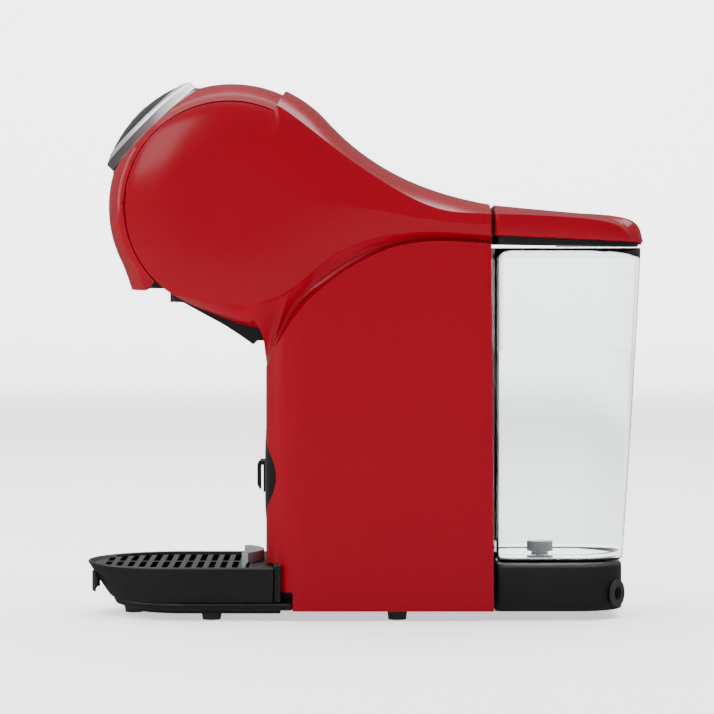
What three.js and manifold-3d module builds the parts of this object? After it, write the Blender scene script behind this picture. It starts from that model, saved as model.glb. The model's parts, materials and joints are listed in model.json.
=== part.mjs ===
// Pod coffee machine: a slim machine with a round head that lifts like a visor, a pod drawer
// under a tilted dial, a drip tray in front of the column and a clear water tank behind it.
// Millimetres, +Z up. The front looks along -X. The origin is on the floor under the middle.
import * as THREE from "three";
import { mergeVertices } from "three/addons/utils/BufferGeometryUtils.js";
import Module from "manifold-3d";

// ---------------------------------------------------------------- driving dimensions
const headWidth = 112; // over the two round head domes
const wall = 2.4; // casing wall
const gap = 0.4; // between two fixed pieces
const runningGap = 0.7; // between pieces that move past each other
const far = 400; // past the machine's edge, for cutting blocks
const footHeight = 5; // the casing stands this far off the floor

const pivotX = -68.3; // the visor turns about this line across the head
const pivotZ = 211;
const domeRadius = 53; // round side face of the head
const bandHeight = 11; // the visor's crown over the dome's edge
const crownDrop = 9; // the crown is this much lower at the sides than in the middle
const coverLift = 2.6; // the fixed cover over the visor's tail
const visorWall = 2.3;
const lipDrop = 42.6; // the visor's lower edge under the pivot
const lipFlare = 3.2; // the finger lip stands this far forward
const notchAngle = 65; // the visor's tail meets the cover here, in degrees above the rear horizon
const liftAngle = 40; // the visor's travel

const domeBulge = 3; // the head domes stand out from the arm's sides
const panelStep = 3; // the lower body is narrower on each side than the arm
const columnFrontX = -50;
const bodyRearTopX = 64.6;
const bodyRearLowX = 66.2;
const armEndTopZ = 212.8; // where the arm meets the tank lid
const armEndLowZ = 196.2;
const columnCorner = 20; // plan radius of the column's front corners
const trayRecessX = -43; // the column steps back over the tray
const trayRecessZ = 28.8;
const sillX = -36.4; // the step at the foot of the column
const sillZ = 14.6;

const dialTilt = 45; // the dial's axis above the horizon
const dialSeat = 56.7; // the dial's flat seat, from the pivot
const ringRadius = 30.7;
const ringWall = 5.3; // the ring's width, seen along its axis
const ringBore = ringRadius - ringWall;
const ringHeight = 4.9;
const bezelHeight = 2.3; // the ring's sloped inner border rises this far
const domeHeight = 7.1; // top of the display dome over the ring
const domeCurve = 67; // radius of the display dome's face
const buttonRadius = 8;
const buttonTravel = 1;

const podX = -94; // axis of the pod and of the coffee outlet
const podSeatZ = 203; // top of the pod drawer
const podRadius = 27.2; // seat for the pod's flange
const podDepth = 34;
const drawerHalf = 32.4; // half width of the drawer's front
const drawerSideGap = 1.1; // between the drawer's front and the visor, on each side
const drawerTopZ = 205.4;

const tankLength = 76; // at the rim
const tankTaper = 9.1; // the tank is shorter at its floor
const tankFloorZ = 29.2;
const tankRimZ = 190;
const tankWall = 2;
const valveX = 91.5;
const valveTravel = 3;
const lidLength = 78;
const lidCorner = 28; // plan radius of the tank's and lid's rear corners
const dockTopZ = 28.5;
const dockRearX = 133;
const dockCorner = 25; // plan radius of the dock's rear corners
const outletZ = 13; // the cable outlet in one rear corner
const outletTurn = 57; // its direction, in degrees from straight across

const trayFrontX = -144.4;
const trayHalf = 51;
const trayRimZ = 27.5;
const trayFloorZ = 9.2;
const trayWall = 2.2;
const trayBottomFrontX = -132.4;
const trayBowX = -95; // the tray's bow starts here
const trayRearX = -46.2;
const wellRearX = -58; // the tray's well ends here, in front of a deck
const gridThickness = 2;
const collarX = columnFrontX - 44; // middle of the arc that a cup stands against
const collarInner = 38;
const collarOuter = 42;
const collarSpread = 0.62; // half its arc, in radians
const collarTopZ = 33;

const pinRadius = 4; // the visor's pivot pins
const frameWall = 2.4; // the brew frame's sheet
const railZ = 182; // the pod drawer runs on rails at this height
const spoutRadius = 7;
const valveRadius = 5;
const hingeY = 12; // the tank lid's hinge ears

const oval = { z: 73.8, halfHeight: 27, wrap: 6 }; // black oval on the column's front
const hook = { z: 71.5, height: 16, depth: 5.4, half: 12 };

// ---------------------------------------------------------------- worked-out sizes
const domeHalf = headWidth / 2;
const armHalf = domeHalf - domeBulge;
const lowerHalf = armHalf - panelStep;
const crown = domeRadius + bandHeight; // the visor's tail radius
const coverRadius = crown + coverLift;
const visorHalf = armHalf - coverLift;
const linkOuter = visorHalf - visorWall - runningGap; // outer face of the visor's side links
const linkThickness = 2.6;
const linkReach = crown - visorWall - crownDrop * 0.7; // the links meet the crown from inside
const frameHalf = linkOuter - linkThickness - 2; // the brew frame's half width
const lipZ = pivotZ - lipDrop;
const bodyLowZ = footHeight;
const tankFrontX = bodyRearLowX + 0.6;
const tankRearX = tankFrontX + tankLength;
const tankHalf = lowerHalf - 4.6;
const lidFrontX = bodyRearTopX + 1.6;
const lidRearX = lidFrontX + lidLength;
const dockFrontX = bodyRearLowX + gap;
const dockHalf = lowerHalf - 4;
const hingeX = lidFrontX + 7.6; // far enough back for the lid's front edge to clear the casing
const hingeZ = armEndTopZ - 4.8;

// ---------------------------------------------------------------- solids
const wasm = await Module();
wasm.setup();

/** A closed geometry as a solid that can be joined and cut. */
function solid(geometry) {
  const bare = geometry.index ? geometry.toNonIndexed() : geometry.clone();
  bare.deleteAttribute("normal");
  bare.deleteAttribute("uv");
  const merged = mergeVertices(bare, 1e-4);
  const corners = merged.index.array;
  const kept = [];
  for (let i = 0; i < corners.length; i += 3) {
    const [a, b, c] = corners.slice(i, i + 3);
    if (a !== b && b !== c && a !== c) kept.push(a, b, c);
  }
  const build = (triangles) =>
    new wasm.Manifold(
      new wasm.Mesh({
        numProp: 3,
        vertProperties: merged.attributes.position.array,
        triVerts: new Uint32Array(triangles),
      }),
    );
  const made = build(kept);
  return made.volume() < 0 ? build(kept.reverse()) : made;
}

const finest = 0.06; // steps smaller than this are dropped from a finished piece

/** The solid's surface as a geometry for a mesh. */
function surface(made) {
  const mesh = made.getMesh();
  const points = new Float32Array(mesh.numVert * 3);
  for (let i = 0; i < mesh.numVert; i++) {
    points.set(mesh.vertProperties.subarray(i * mesh.numProp, i * mesh.numProp + 3), i * 3);
  }
  const geometry = new THREE.BufferGeometry();
  geometry.setAttribute("position", new THREE.BufferAttribute(points, 3));
  geometry.setIndex(new THREE.BufferAttribute(mesh.triVerts, 1));
  geometry.computeVertexNormals();
  return geometry;
}

const join = (first, ...rest) => rest.reduce((all, next) => all.add(next), first);
const cut = (from, ...tools) => tools.reduce((left, tool) => left.subtract(tool), from);
const common = (first, ...rest) => rest.reduce((all, next) => all.intersect(next), first);
const radians = THREE.MathUtils.degToRad;
const v2 = (x, y) => new THREE.Vector2(x, y);
const v3 = (x, y, z) => new THREE.Vector3(x, y, z);

function block(x0, x1, y0, y1, z0, z1) {
  const box = new THREE.BoxGeometry(x1 - x0, y1 - y0, z1 - z0);
  return solid(box.translate((x0 + x1) / 2, (y0 + y1) / 2, (z0 + z1) / 2));
}

/** A cylinder between two points. */
function rod(from, to, radius, sides = 20, endRadius = radius) {
  const axis = to.clone().sub(from);
  const turn = new THREE.Quaternion().setFromUnitVectors(v3(0, 1, 0), axis.clone().normalize());
  const geometry = new THREE.CylinderGeometry(endRadius, radius, axis.length(), sides);
  geometry.applyQuaternion(turn);
  return solid(geometry.translate(...from.clone().add(to).multiplyScalar(0.5).toArray()));
}

/** The outline as straight steps, with no two corners in the same place. */
function stepped(shape, curveSegments = 12) {
  const points = shape.getPoints(curveSegments).filter((point, i, all) => {
    return point.distanceTo(all[(i + 1) % all.length]) > 0.05;
  });
  return new THREE.Shape(points);
}

/** A side view (x, z) drawn out across the machine, from y0 to y1. */
function acrossY(shape, y0, y1, curveSegments = 10) {
  const settings = { depth: y1 - y0, bevelEnabled: false };
  const outline = stepped(shape, curveSegments);
  return solid(new THREE.ExtrudeGeometry(outline, settings).rotateX(Math.PI / 2).translate(0, y1, 0));
}

/** A plan view (x, y) drawn up from z0 to z1. The geometry is returned, so that it can be reshaped. */
function upward(shape, z0, z1, curveSegments = 12) {
  const settings = { depth: z1 - z0, bevelEnabled: false, curveSegments };
  return new THREE.ExtrudeGeometry(shape, settings).translate(0, 0, z0);
}

/** A front view (y, z) drawn out along X, from x0 to x1. */
function alongX(shape, x0, x1, curveSegments = 8) {
  const basis = new THREE.Matrix4().makeBasis(v3(0, 1, 0), v3(0, 0, 1), v3(1, 0, 0));
  const settings = { depth: x1 - x0, bevelEnabled: false, curveSegments };
  const geometry = new THREE.ExtrudeGeometry(shape, settings).applyMatrix4(basis);
  return solid(geometry.translate(x0, 0, 0));
}

/** A profile of [radius, height] turned about Z. */
function turned(profile, segments = 32) {
  const points = profile.map(([r, h]) => v2(r, h));
  return solid(new THREE.LatheGeometry(points, segments).rotateX(Math.PI / 2));
}

/** Moves each point of a geometry as the function says. */
function reshape(geometry, move) {
  const place = geometry.getAttribute("position");
  const point = v3(0, 0, 0);
  for (let i = 0; i < place.count; i++) {
    point.fromBufferAttribute(place, i);
    move(point);
    place.setXYZ(i, point.x, point.y, point.z);
  }
  return geometry;
}

/** A ring of tube along a smooth path, for a hose. */
function hose(points, radius) {
  const section = new THREE.Shape();
  section.absarc(0, 0, radius, 0, Math.PI * 2);
  const path = new THREE.CatmullRomCurve3(points, false, "centripetal");
  const settings = { steps: 18, bevelEnabled: false, extrudePath: path, curveSegments: 4 };
  return solid(new THREE.ExtrudeGeometry(section, settings));
}

function rectangle(x0, x1, y0, y1, radius = 0) {
  const shape = new THREE.Shape();
  if (!radius) {
    return new THREE.Shape([v2(x0, y0), v2(x1, y0), v2(x1, y1), v2(x0, y1)]);
  }
  shape.absarc(x1 - radius, y0 + radius, radius, -Math.PI / 2, 0);
  shape.absarc(x1 - radius, y1 - radius, radius, 0, Math.PI / 2);
  shape.absarc(x0 + radius, y1 - radius, radius, Math.PI / 2, Math.PI);
  shape.absarc(x0 + radius, y0 + radius, radius, Math.PI, Math.PI * 1.5);
  return shape;
}

/** Plan of the tank, dock and lid: flat in front, with large round corners behind. */
function rearPlan(x0, x1, half, frontRadius, rearRadius) {
  const shape = new THREE.Shape();
  shape.absarc(x1 - rearRadius, rearRadius - half, rearRadius, -Math.PI / 2, 0);
  shape.absarc(x1 - rearRadius, half - rearRadius, rearRadius, 0, Math.PI / 2);
  shape.absarc(x0 + frontRadius, half - frontRadius, frontRadius, Math.PI / 2, Math.PI);
  shape.absarc(x0 + frontRadius, frontRadius - half, frontRadius, Math.PI, Math.PI * 1.5);
  return shape;
}

/** A slice of a disc in side view about the pivot, between two angles above the rear horizon. */
function sector(radius, fromAngle, toAngle) {
  const shape = new THREE.Shape();
  shape.moveTo(pivotX, pivotZ);
  shape.lineTo(...onCircle(radius, fromAngle));
  shape.absarc(pivotX, pivotZ, radius, radians(fromAngle), radians(toAngle));
  return shape;
}

const onCircle = (radius, angle) => [
  pivotX + radius * Math.cos(radians(angle)),
  pivotZ + radius * Math.sin(radians(angle)),
];

// ---------------------------------------------------------------- materials
const plastic = (color, roughness) => new THREE.MeshStandardMaterial({ color, roughness, metalness: 0 });
const metal = (color, roughness) => new THREE.MeshStandardMaterial({ color, roughness, metalness: 1 });
const finish = {
  redGloss: () => plastic(0xa80f1c, 0.18),
  blackGloss: () => plastic(0x101012, 0.12),
  blackSatin: () => plastic(0x1b1b1d, 0.42),
  clear: () => {
    const material = plastic(0xf2f5f6, 0.05);
    material.transparent = true;
    material.opacity = 0.3;
    return material;
  },
  smoke: () => plastic(0x8d9194, 0.2),
  steel: () => metal(0xb4b6b8, 0.35),
  aluminium: () => metal(0xa9adb0, 0.5),
  rubber: () => plastic(0x2a2a2b, 0.85),
  silicone: () => plastic(0xdedbd2, 0.5),
  board: () => plastic(0x1e5b34, 0.6),
};

function node(name, made, material, parent) {
  const mesh = new THREE.Mesh(surface(made.simplify(finest)), material);
  mesh.name = name;
  parent.add(mesh);
  return mesh;
}

// ---------------------------------------------------------------- casing
/** Side view of the head and arm, drawn smaller by a distance: round head, swept top, underside and chin. */
function armOutline(smaller = 0) {
  const shape = new THREE.Shape();
  const top = coverRadius - smaller;
  const dome = domeRadius - smaller;
  const notch = notchAngle - (smaller * 180) / (Math.PI * top);
  const sweepStart = onCircle(top, 42);
  const rearX = bodyRearTopX - smaller;
  const topZ = armEndTopZ - smaller;
  const lowZ = armEndLowZ + smaller;
  shape.moveTo(...onCircle(top, notch));
  shape.absarc(pivotX, pivotZ, top, radians(notch), radians(42), true);
  shape.bezierCurveTo(sweepStart[0] + 18.4, sweepStart[1] - 20.4, rearX - 39.4, topZ + 6.8, rearX, topZ);
  shape.lineTo(rearX, lowZ);
  const armpit = [columnFrontX + 18 - smaller * 0.8, armEndLowZ - 23 + smaller * 0.6];
  shape.bezierCurveTo(rearX - 34.6, lowZ + 6.3, armpit[0] + 32, lowZ + 1.8, ...armpit);
  shape.lineTo(columnFrontX + 8 - smaller * 0.8, 152);
  shape.lineTo(columnFrontX - 5.9, 147 + smaller);
  shape.lineTo(columnFrontX - 18, 152.9 + smaller);
  shape.lineTo(pivotX - 10, pivotZ - domeRadius - 1.1 + smaller);
  shape.lineTo(...onCircle(dome, 242));
  shape.absarc(pivotX, pivotZ, dome, radians(231), radians(notch), true);
  return shape;
}

/** Side view of the lower body, from the column's front to the tank, drawn smaller by a distance. */
function bodyOutline(smaller = 0) {
  const front = columnFrontX + smaller;
  const low = bodyLowZ + smaller;
  return new THREE.Shape([
    v2(front, trayRecessZ + smaller),
    v2(front, 130),
    v2(front + 2.2, 135.5),
    v2(front + 2.9, 140.6),
    v2(front + 1.6, 145.2),
    v2(front - 0.4, 148 + smaller),
    v2(front + 10, 164),
    v2(front + 24, 186),
    v2(front + 50, armEndLowZ + 6 - smaller),
    v2(bodyRearTopX - smaller, armEndLowZ + 8 - smaller),
    v2(bodyRearTopX - smaller, armEndLowZ - 4),
    v2(bodyRearLowX - smaller, low),
    v2(sillX + smaller, low),
    v2(sillX + smaller, sillZ + smaller),
    v2(trayRecessX + smaller, sillZ + smaller),
    v2(trayRecessX + smaller, trayRecessZ + smaller),
  ]);
}

/** How far the crown has dropped at a distance from the middle plane, as part of the whole drop. */
const crownAt = (share) => 1 - Math.sqrt(Math.max(0, 1 - share * share));

/** Lowers the upper side of an across-Y layer stack towards the head-to-lid line, as a round crown. */
function crowned(geometry, half, drop, endX, endZ) {
  const spine = new THREE.Line3(v3(pivotX, 0, pivotZ), v3(endX, 0, endZ));
  const nearest = v3(0, 0, 0);
  return reshape(geometry, (point) => {
    const share = Math.sin((point.y / half) * (Math.PI / 2));
    const flat = v3(point.x, 0, point.z);
    spine.closestPointToPoint(flat, true, nearest);
    const away = flat.clone().sub(nearest);
    const above = away.z > 0 ? Math.min(1, away.length() / 8) : 0;
    if (away.length() > 0) point.addScaledVector(away.normalize(), -drop * above * crownAt(share * 0.985));
    point.y = share * half;
  });
}

/** A side view drawn across the machine in layers, with a crowned top. */
function crownedBlock(shape, half, drop, endX, endZ) {
  const settings = { depth: 2 * half, steps: 10, bevelEnabled: false };
  const geometry = new THREE.ExtrudeGeometry(stepped(shape), settings);
  geometry.rotateX(Math.PI / 2).translate(0, half, 0);
  return solid(crowned(geometry, half, drop, endX, endZ));
}

/** Head, arm and lower body as one full solid, drawn smaller all round by a distance. */
function casingVolume(smaller) {
  const arm = crownedBlock(armOutline(smaller), armHalf - smaller, crownDrop, bodyRearTopX, armEndLowZ + 6);
  const lowSide = lowerHalf - smaller;
  const rearEnd = bodyRearLowX + columnCorner;
  const plan = rectangle(columnFrontX + smaller, rearEnd, -lowSide, lowSide, columnCorner);
  const body = common(
    acrossY(bodyOutline(smaller), -lowSide, lowSide),
    solid(upward(stepped(plan), 0, pivotZ)),
  );
  return join(arm, body, ...[-1, 1].map((side) => headDome(side, smaller)));
}

/** The round, gently bulging side of the head. */
function headDome(side, smaller) {
  const r = domeRadius - smaller * 0.9;
  const h = domeHalf - smaller;
  const profile = [[0, visorHalf - 12], [r, visorHalf - 12],
    [r, visorHalf - 1.7 - smaller * 0.6], [r * 0.97, h - 5.5],
    [r * 0.89, h - 3.4], [r * 0.72, h - 1.4], [r * 0.47, h - 0.4], [0, h]];
  const points = profile.map(([radius, height]) => v2(radius, height * side));
  return solid(new THREE.LatheGeometry(points, 48).translate(pivotX, 0, pivotZ));
}

/** The visor's section turned about the pivot: a crowned band with two side cheeks. */
function visorRing(radius, halfWidth, thickness, reach) {
  const shares = [0, 0.4, 0.68, 0.87, 0.96, 0.995];
  const curve = (top, half) => shares.map((share) => v2(top - crownDrop * crownAt(share), share * half));
  const outer = curve(radius, halfWidth);
  outer.push(v2(reach, halfWidth));
  const inHalf = halfWidth - thickness;
  const inner = curve(radius - thickness, inHalf);
  inner.push(v2(reach, inHalf));
  const mirror = (points) => points.slice(1).reverse().map((p) => v2(p.x, -p.y));
  const loop = [...mirror(outer), ...outer, ...[...inner].reverse(), ...mirror(inner).reverse()];
  loop.push(loop[0].clone());
  const flareStart = 206;
  const flareSpan = 16;
  const geometry = reshape(new THREE.LatheGeometry(loop, 48), (point) => {
    const angle = (THREE.MathUtils.radToDeg(Math.atan2(point.z, point.x)) + 360) % 360;
    const share = THREE.MathUtils.clamp((angle - flareStart) / flareSpan, 0, 1);
    const round = Math.hypot(point.x, point.z);
    const scale = angle < 300 ? 1 + (lipFlare * share * share) / round : 1;
    point.set(point.x * scale, point.y, point.z * scale);
  });
  return geometry.translate(pivotX, 0, pivotZ);
}

/** The room that the visor's tail needs under the cover. */
function tailPocket() {
  const room = runningGap;
  const slot = solid(visorRing(crown + room, visorHalf + room, visorWall + 8, domeRadius - 4));
  const swept = sector(crown + 20, notchAngle - liftAngle - 6, notchAngle + 4);
  return common(slot, acrossY(swept, -armHalf, armHalf));
}

/** Everything inside the head that must stay open for the visor, its links and the brew frame. */
function headOpening() {
  const half = linkOuter + runningGap;
  return join(
    acrossY(sector(crown + 20, notchAngle, 238), -half, half),
    acrossY(sector(domeRadius + 1.5, notchAngle - 12, notchAngle + 1), -half, half),
    acrossY(
      new THREE.Shape([v2(columnFrontX - 5.5, 140), v2(columnFrontX - 5.5, 165),
        v2(pivotX - 38, 185), v2(pivotX - 45, 140)]),
      -frameHalf,
      frameHalf,
    ),
  );
}

function baseClearance() {
  const half = lowerHalf - wall + 0.1;
  return block(sillX - 2, dockFrontX + 6, -half, half, 0, bodyLowZ + 3 + gap);
}

function ovalTool(grow) {
  const shape = new THREE.Shape();
  shape.absellipse(0, oval.z, lowerHalf + 4 + grow, oval.halfHeight + grow, 0, Math.PI * 2);
  return common(
    alongX(shape, columnFrontX - 5, columnFrontX + oval.wrap + grow, 20),
    solid(upward(rectangle(columnFrontX - 5, 0, -lowerHalf - 5, lowerHalf + 5), 0, pivotZ)),
  );
}

/** The strip of the casing's top that is a cover of its own. */
function topBand(half, grow) {
  const strip = new THREE.Shape([
    v2(pivotX, pivotZ + 30),
    v2(pivotX, pivotZ + coverRadius + 5),
    v2(bodyRearTopX + 5, pivotZ + coverRadius + 5),
    v2(bodyRearTopX + 5, armEndTopZ - 7 - grow),
    v2(columnFrontX + 60, armEndTopZ - 3 - grow),
  ]);
  const tail = acrossY(sector(crown - 1, 0, 179), -half, half);
  return cut(acrossY(strip, -half, half), tail);
}

const bandHalf = armHalf * 0.8;
const root = new THREE.Group();

function casing(parent) {
  const shell = cut(
    casingVolume(0),
    casingVolume(wall),
    tailPocket(),
    headOpening(),
    baseClearance(),
  );
  const half = (side) => {
    const keep = block(-far, far, ...(side < 0 ? [-far, -gap / 2] : [gap / 2, far]), -far, far);
    return cut(common(shell, keep), topBand(bandHalf + gap, gap), ovalTool(gap));
  };
  node("side_shell_left", half(-1), finish.redGloss(), parent);
  node("side_shell_right", half(1), finish.redGloss(), parent);
  node("top_cover", common(shell, topBand(bandHalf, 0)), finish.redGloss(), parent);
  node("column_oval_panel", common(shell, ovalTool(0)), finish.blackSatin(), parent);
  const hookX = columnFrontX - hook.depth;
  const hookShape = new THREE.Shape([
    v2(columnFrontX - gap, hook.z - hook.height / 2),
    v2(columnFrontX - gap, hook.z + hook.height / 2),
    v2(hookX + 1.5, hook.z + hook.height / 2),
    v2(hookX, hook.z + hook.height / 2 - 1.5),
    v2(hookX, hook.z - hook.height / 2 + 4),
    v2(hookX + 2, hook.z - hook.height / 2),
  ]);
  const slotTop = hook.z + hook.height / 2 - 2;
  const slot = block(hookX + 1.6, hookX + 3.2, -hook.half - 1, hook.half + 1, 0, slotTop);
  node("cup_shelf_hook", cut(acrossY(hookShape, -hook.half, hook.half), slot), finish.blackSatin(), parent);
}

/** The black piece under the head, notched in front for the moving spout. */
function undersideCover(parent) {
  const half = frameHalf - gap;
  const profile = new THREE.Shape([
    v2(-99, 167),
    v2(-84, 158),
    v2(-73.7, 153.1),
    v2(-63.5, 146.4),
    v2(-56.8, 140.6),
    v2(-56, 147.5),
    v2(-63.5, 152.5),
    v2(-73.7, 156.5),
    v2(-84, 161.2),
    v2(-97, 168.2),
  ]);
  const notch = block(-120, podX + spoutRadius + 2, -spoutRadius - 1.5, spoutRadius + 1.5, 130, 180);
  node("head_underside_cover", cut(acrossY(profile, -half, half), notch), finish.blackSatin(), parent);
}

// ---------------------------------------------------------------- visor and dial
/** A piece drawn about Z, turned to the dial's axis. */
const onDial = (made) => made.rotate([0, dialTilt - 90, 0]).translate([pivotX, 0, pivotZ]);

function visor(parent) {
  const seamRadius = domeRadius + runningGap;
  const facetTop = dialSeat + gap;
  const aboveFacet = onDial(block(-far, far, -far, far, facetTop, far));
  const facetLayer = onDial(block(-far, far, -far, far, facetTop - visorWall, facetTop));
  const thickRing = solid(visorRing(crown, visorHalf, visorWall + 8, seamRadius));
  const ring = join(
    cut(solid(visorRing(crown, visorHalf, visorWall, seamRadius)), aboveFacet),
    common(thickRing, facetLayer),
  );
  const dialBore = onDial(rod(v3(0, 0, dialSeat - 16), v3(0, 0, dialSeat + 40), ringRadius + 1.2, 40));
  const arch = (half, topZ) => block(-far, pivotX - 30, -half, half, lipZ - 20, topZ);
  const aboveLip = block(-far, far, -far, far, lipZ, far);
  const front = common(ring, acrossY(sector(crown + 20, notchAngle - 6, 226), -far, far), aboveLip);
  const shell = cut(front, dialBore, arch(drawerHalf + drawerSideGap, drawerTopZ + runningGap));
  node("visor_shell", shell, finish.redGloss(), parent);
  node("drawer_front", common(front, arch(drawerHalf, drawerTopZ)), finish.redGloss(), parent);

  for (const [name, side] of [["visor_link_left", -1], ["visor_link_right", 1]]) {
    const outer = side * linkOuter;
    const inner = side * (linkOuter - linkThickness);
    const [y0, y1] = [Math.min(outer, inner), Math.max(outer, inner)];
    const plate = join(
      acrossY(sector(linkReach, 96, 196), y0, y1),
      rod(v3(pivotX, y0, pivotZ), v3(pivotX, y1, pivotZ), 11, 32),
    );
    const bore = rod(v3(pivotX, y0 - 1, pivotZ), v3(pivotX, y1 + 1, pivotZ), pinRadius + 0.3, 28);
    node(name, cut(plate, bore, ring), finish.blackSatin(), parent);
  }
  const tieSpot = onCircle(44, 104);
  const tieHalf = linkOuter - linkThickness;
  const tie = rod(v3(tieSpot[0], -tieHalf, tieSpot[1]), v3(tieSpot[0], tieHalf, tieSpot[1]), 3);
  const dialRoom = onDial(rod(v3(0, 0, 40), v3(0, 0, 60), ringRadius + 1.4));
  node("visor_tie", cut(tie, dialRoom), finish.steel(), parent);

  const seatRadius = ringRadius + 0.8;
  const bossRadius = ringBore - 0.5;
  const bossTop = dialSeat + ringHeight - 0.6;
  const buttonBore = buttonRadius + 0.4;
  const housing = cut(
    join(
      rod(v3(0, 0, dialSeat - 2.4), v3(0, 0, dialSeat), seatRadius, 48),
      rod(v3(0, 0, dialSeat - 2.4), v3(0, 0, bossTop), bossRadius, 40),
    ),
    rod(v3(0, 0, dialSeat - 6), v3(0, 0, dialSeat - 0.4), bossRadius - 2, 32),
    rod(v3(0, 0, dialSeat - 6), v3(0, 0, dialSeat + 20), 4.3, 20),
    rod(v3(0, 0, dialSeat + 2), v3(0, 0, dialSeat + 20), buttonBore, 28),
  );
  node("dial_housing", onDial(housing), finish.blackSatin(), parent);

  const teeth = 36;
  const rim = new THREE.Shape();
  for (let i = 0; i < teeth * 2; i++) {
    const r = i % 2 ? ringRadius : ringRadius - 0.35;
    const turn = (i * Math.PI) / teeth;
    const corner = [r * Math.cos(turn), r * Math.sin(turn)];
    if (i) rim.lineTo(...corner);
    else rim.moveTo(...corner);
  }
  const hole = new THREE.Path();
  hole.absarc(0, 0, ringBore, 0, Math.PI * 2, true);
  rim.holes.push(hole);
  const low = dialSeat + 0.4;
  const high = low + ringHeight;
  const band = common(
    solid(upward(rim, low, high + bezelHeight, 24)),
    turned([[0, low], [ringRadius - 0.2, low], [ringRadius, low + 0.6], [ringRadius, high - 0.4],
      [ringRadius - 0.5, high], [ringBore + 0.3, high + bezelHeight], [0, high + bezelHeight]], 36),
  );
  node("selector_ring", onDial(band), finish.steel(), parent);

  const base = bossTop + gap / 2;
  const r = ringBore - 0.4;
  const apex = high + domeHeight;
  const faceAt = (radius) => apex - domeCurve + Math.sqrt(domeCurve ** 2 - radius ** 2);
  const face = [1, 0.9, 0.75, 0.55, 0.35, 0].map((share) => [r * share, faceAt(r * share)]);
  const dome = cut(
    turned([[0, base], [r, base], ...face], 48),
    rod(v3(0, 0, base - 1), v3(0, 0, base + 20), buttonBore, 28),
  );
  node("display_dome", onDial(dome), finish.blackGloss(), parent);

  const top = apex + 0.2;
  const foot = dialSeat + 2 + buttonTravel + 0.4;
  const button = turned([[0, foot], [buttonRadius, foot],
    [buttonRadius, top - 0.8], [buttonRadius - 0.8, top - 0.2], [0, top]], 28);
  node("start_button", onDial(button), finish.blackGloss(), parent);
}

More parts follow.
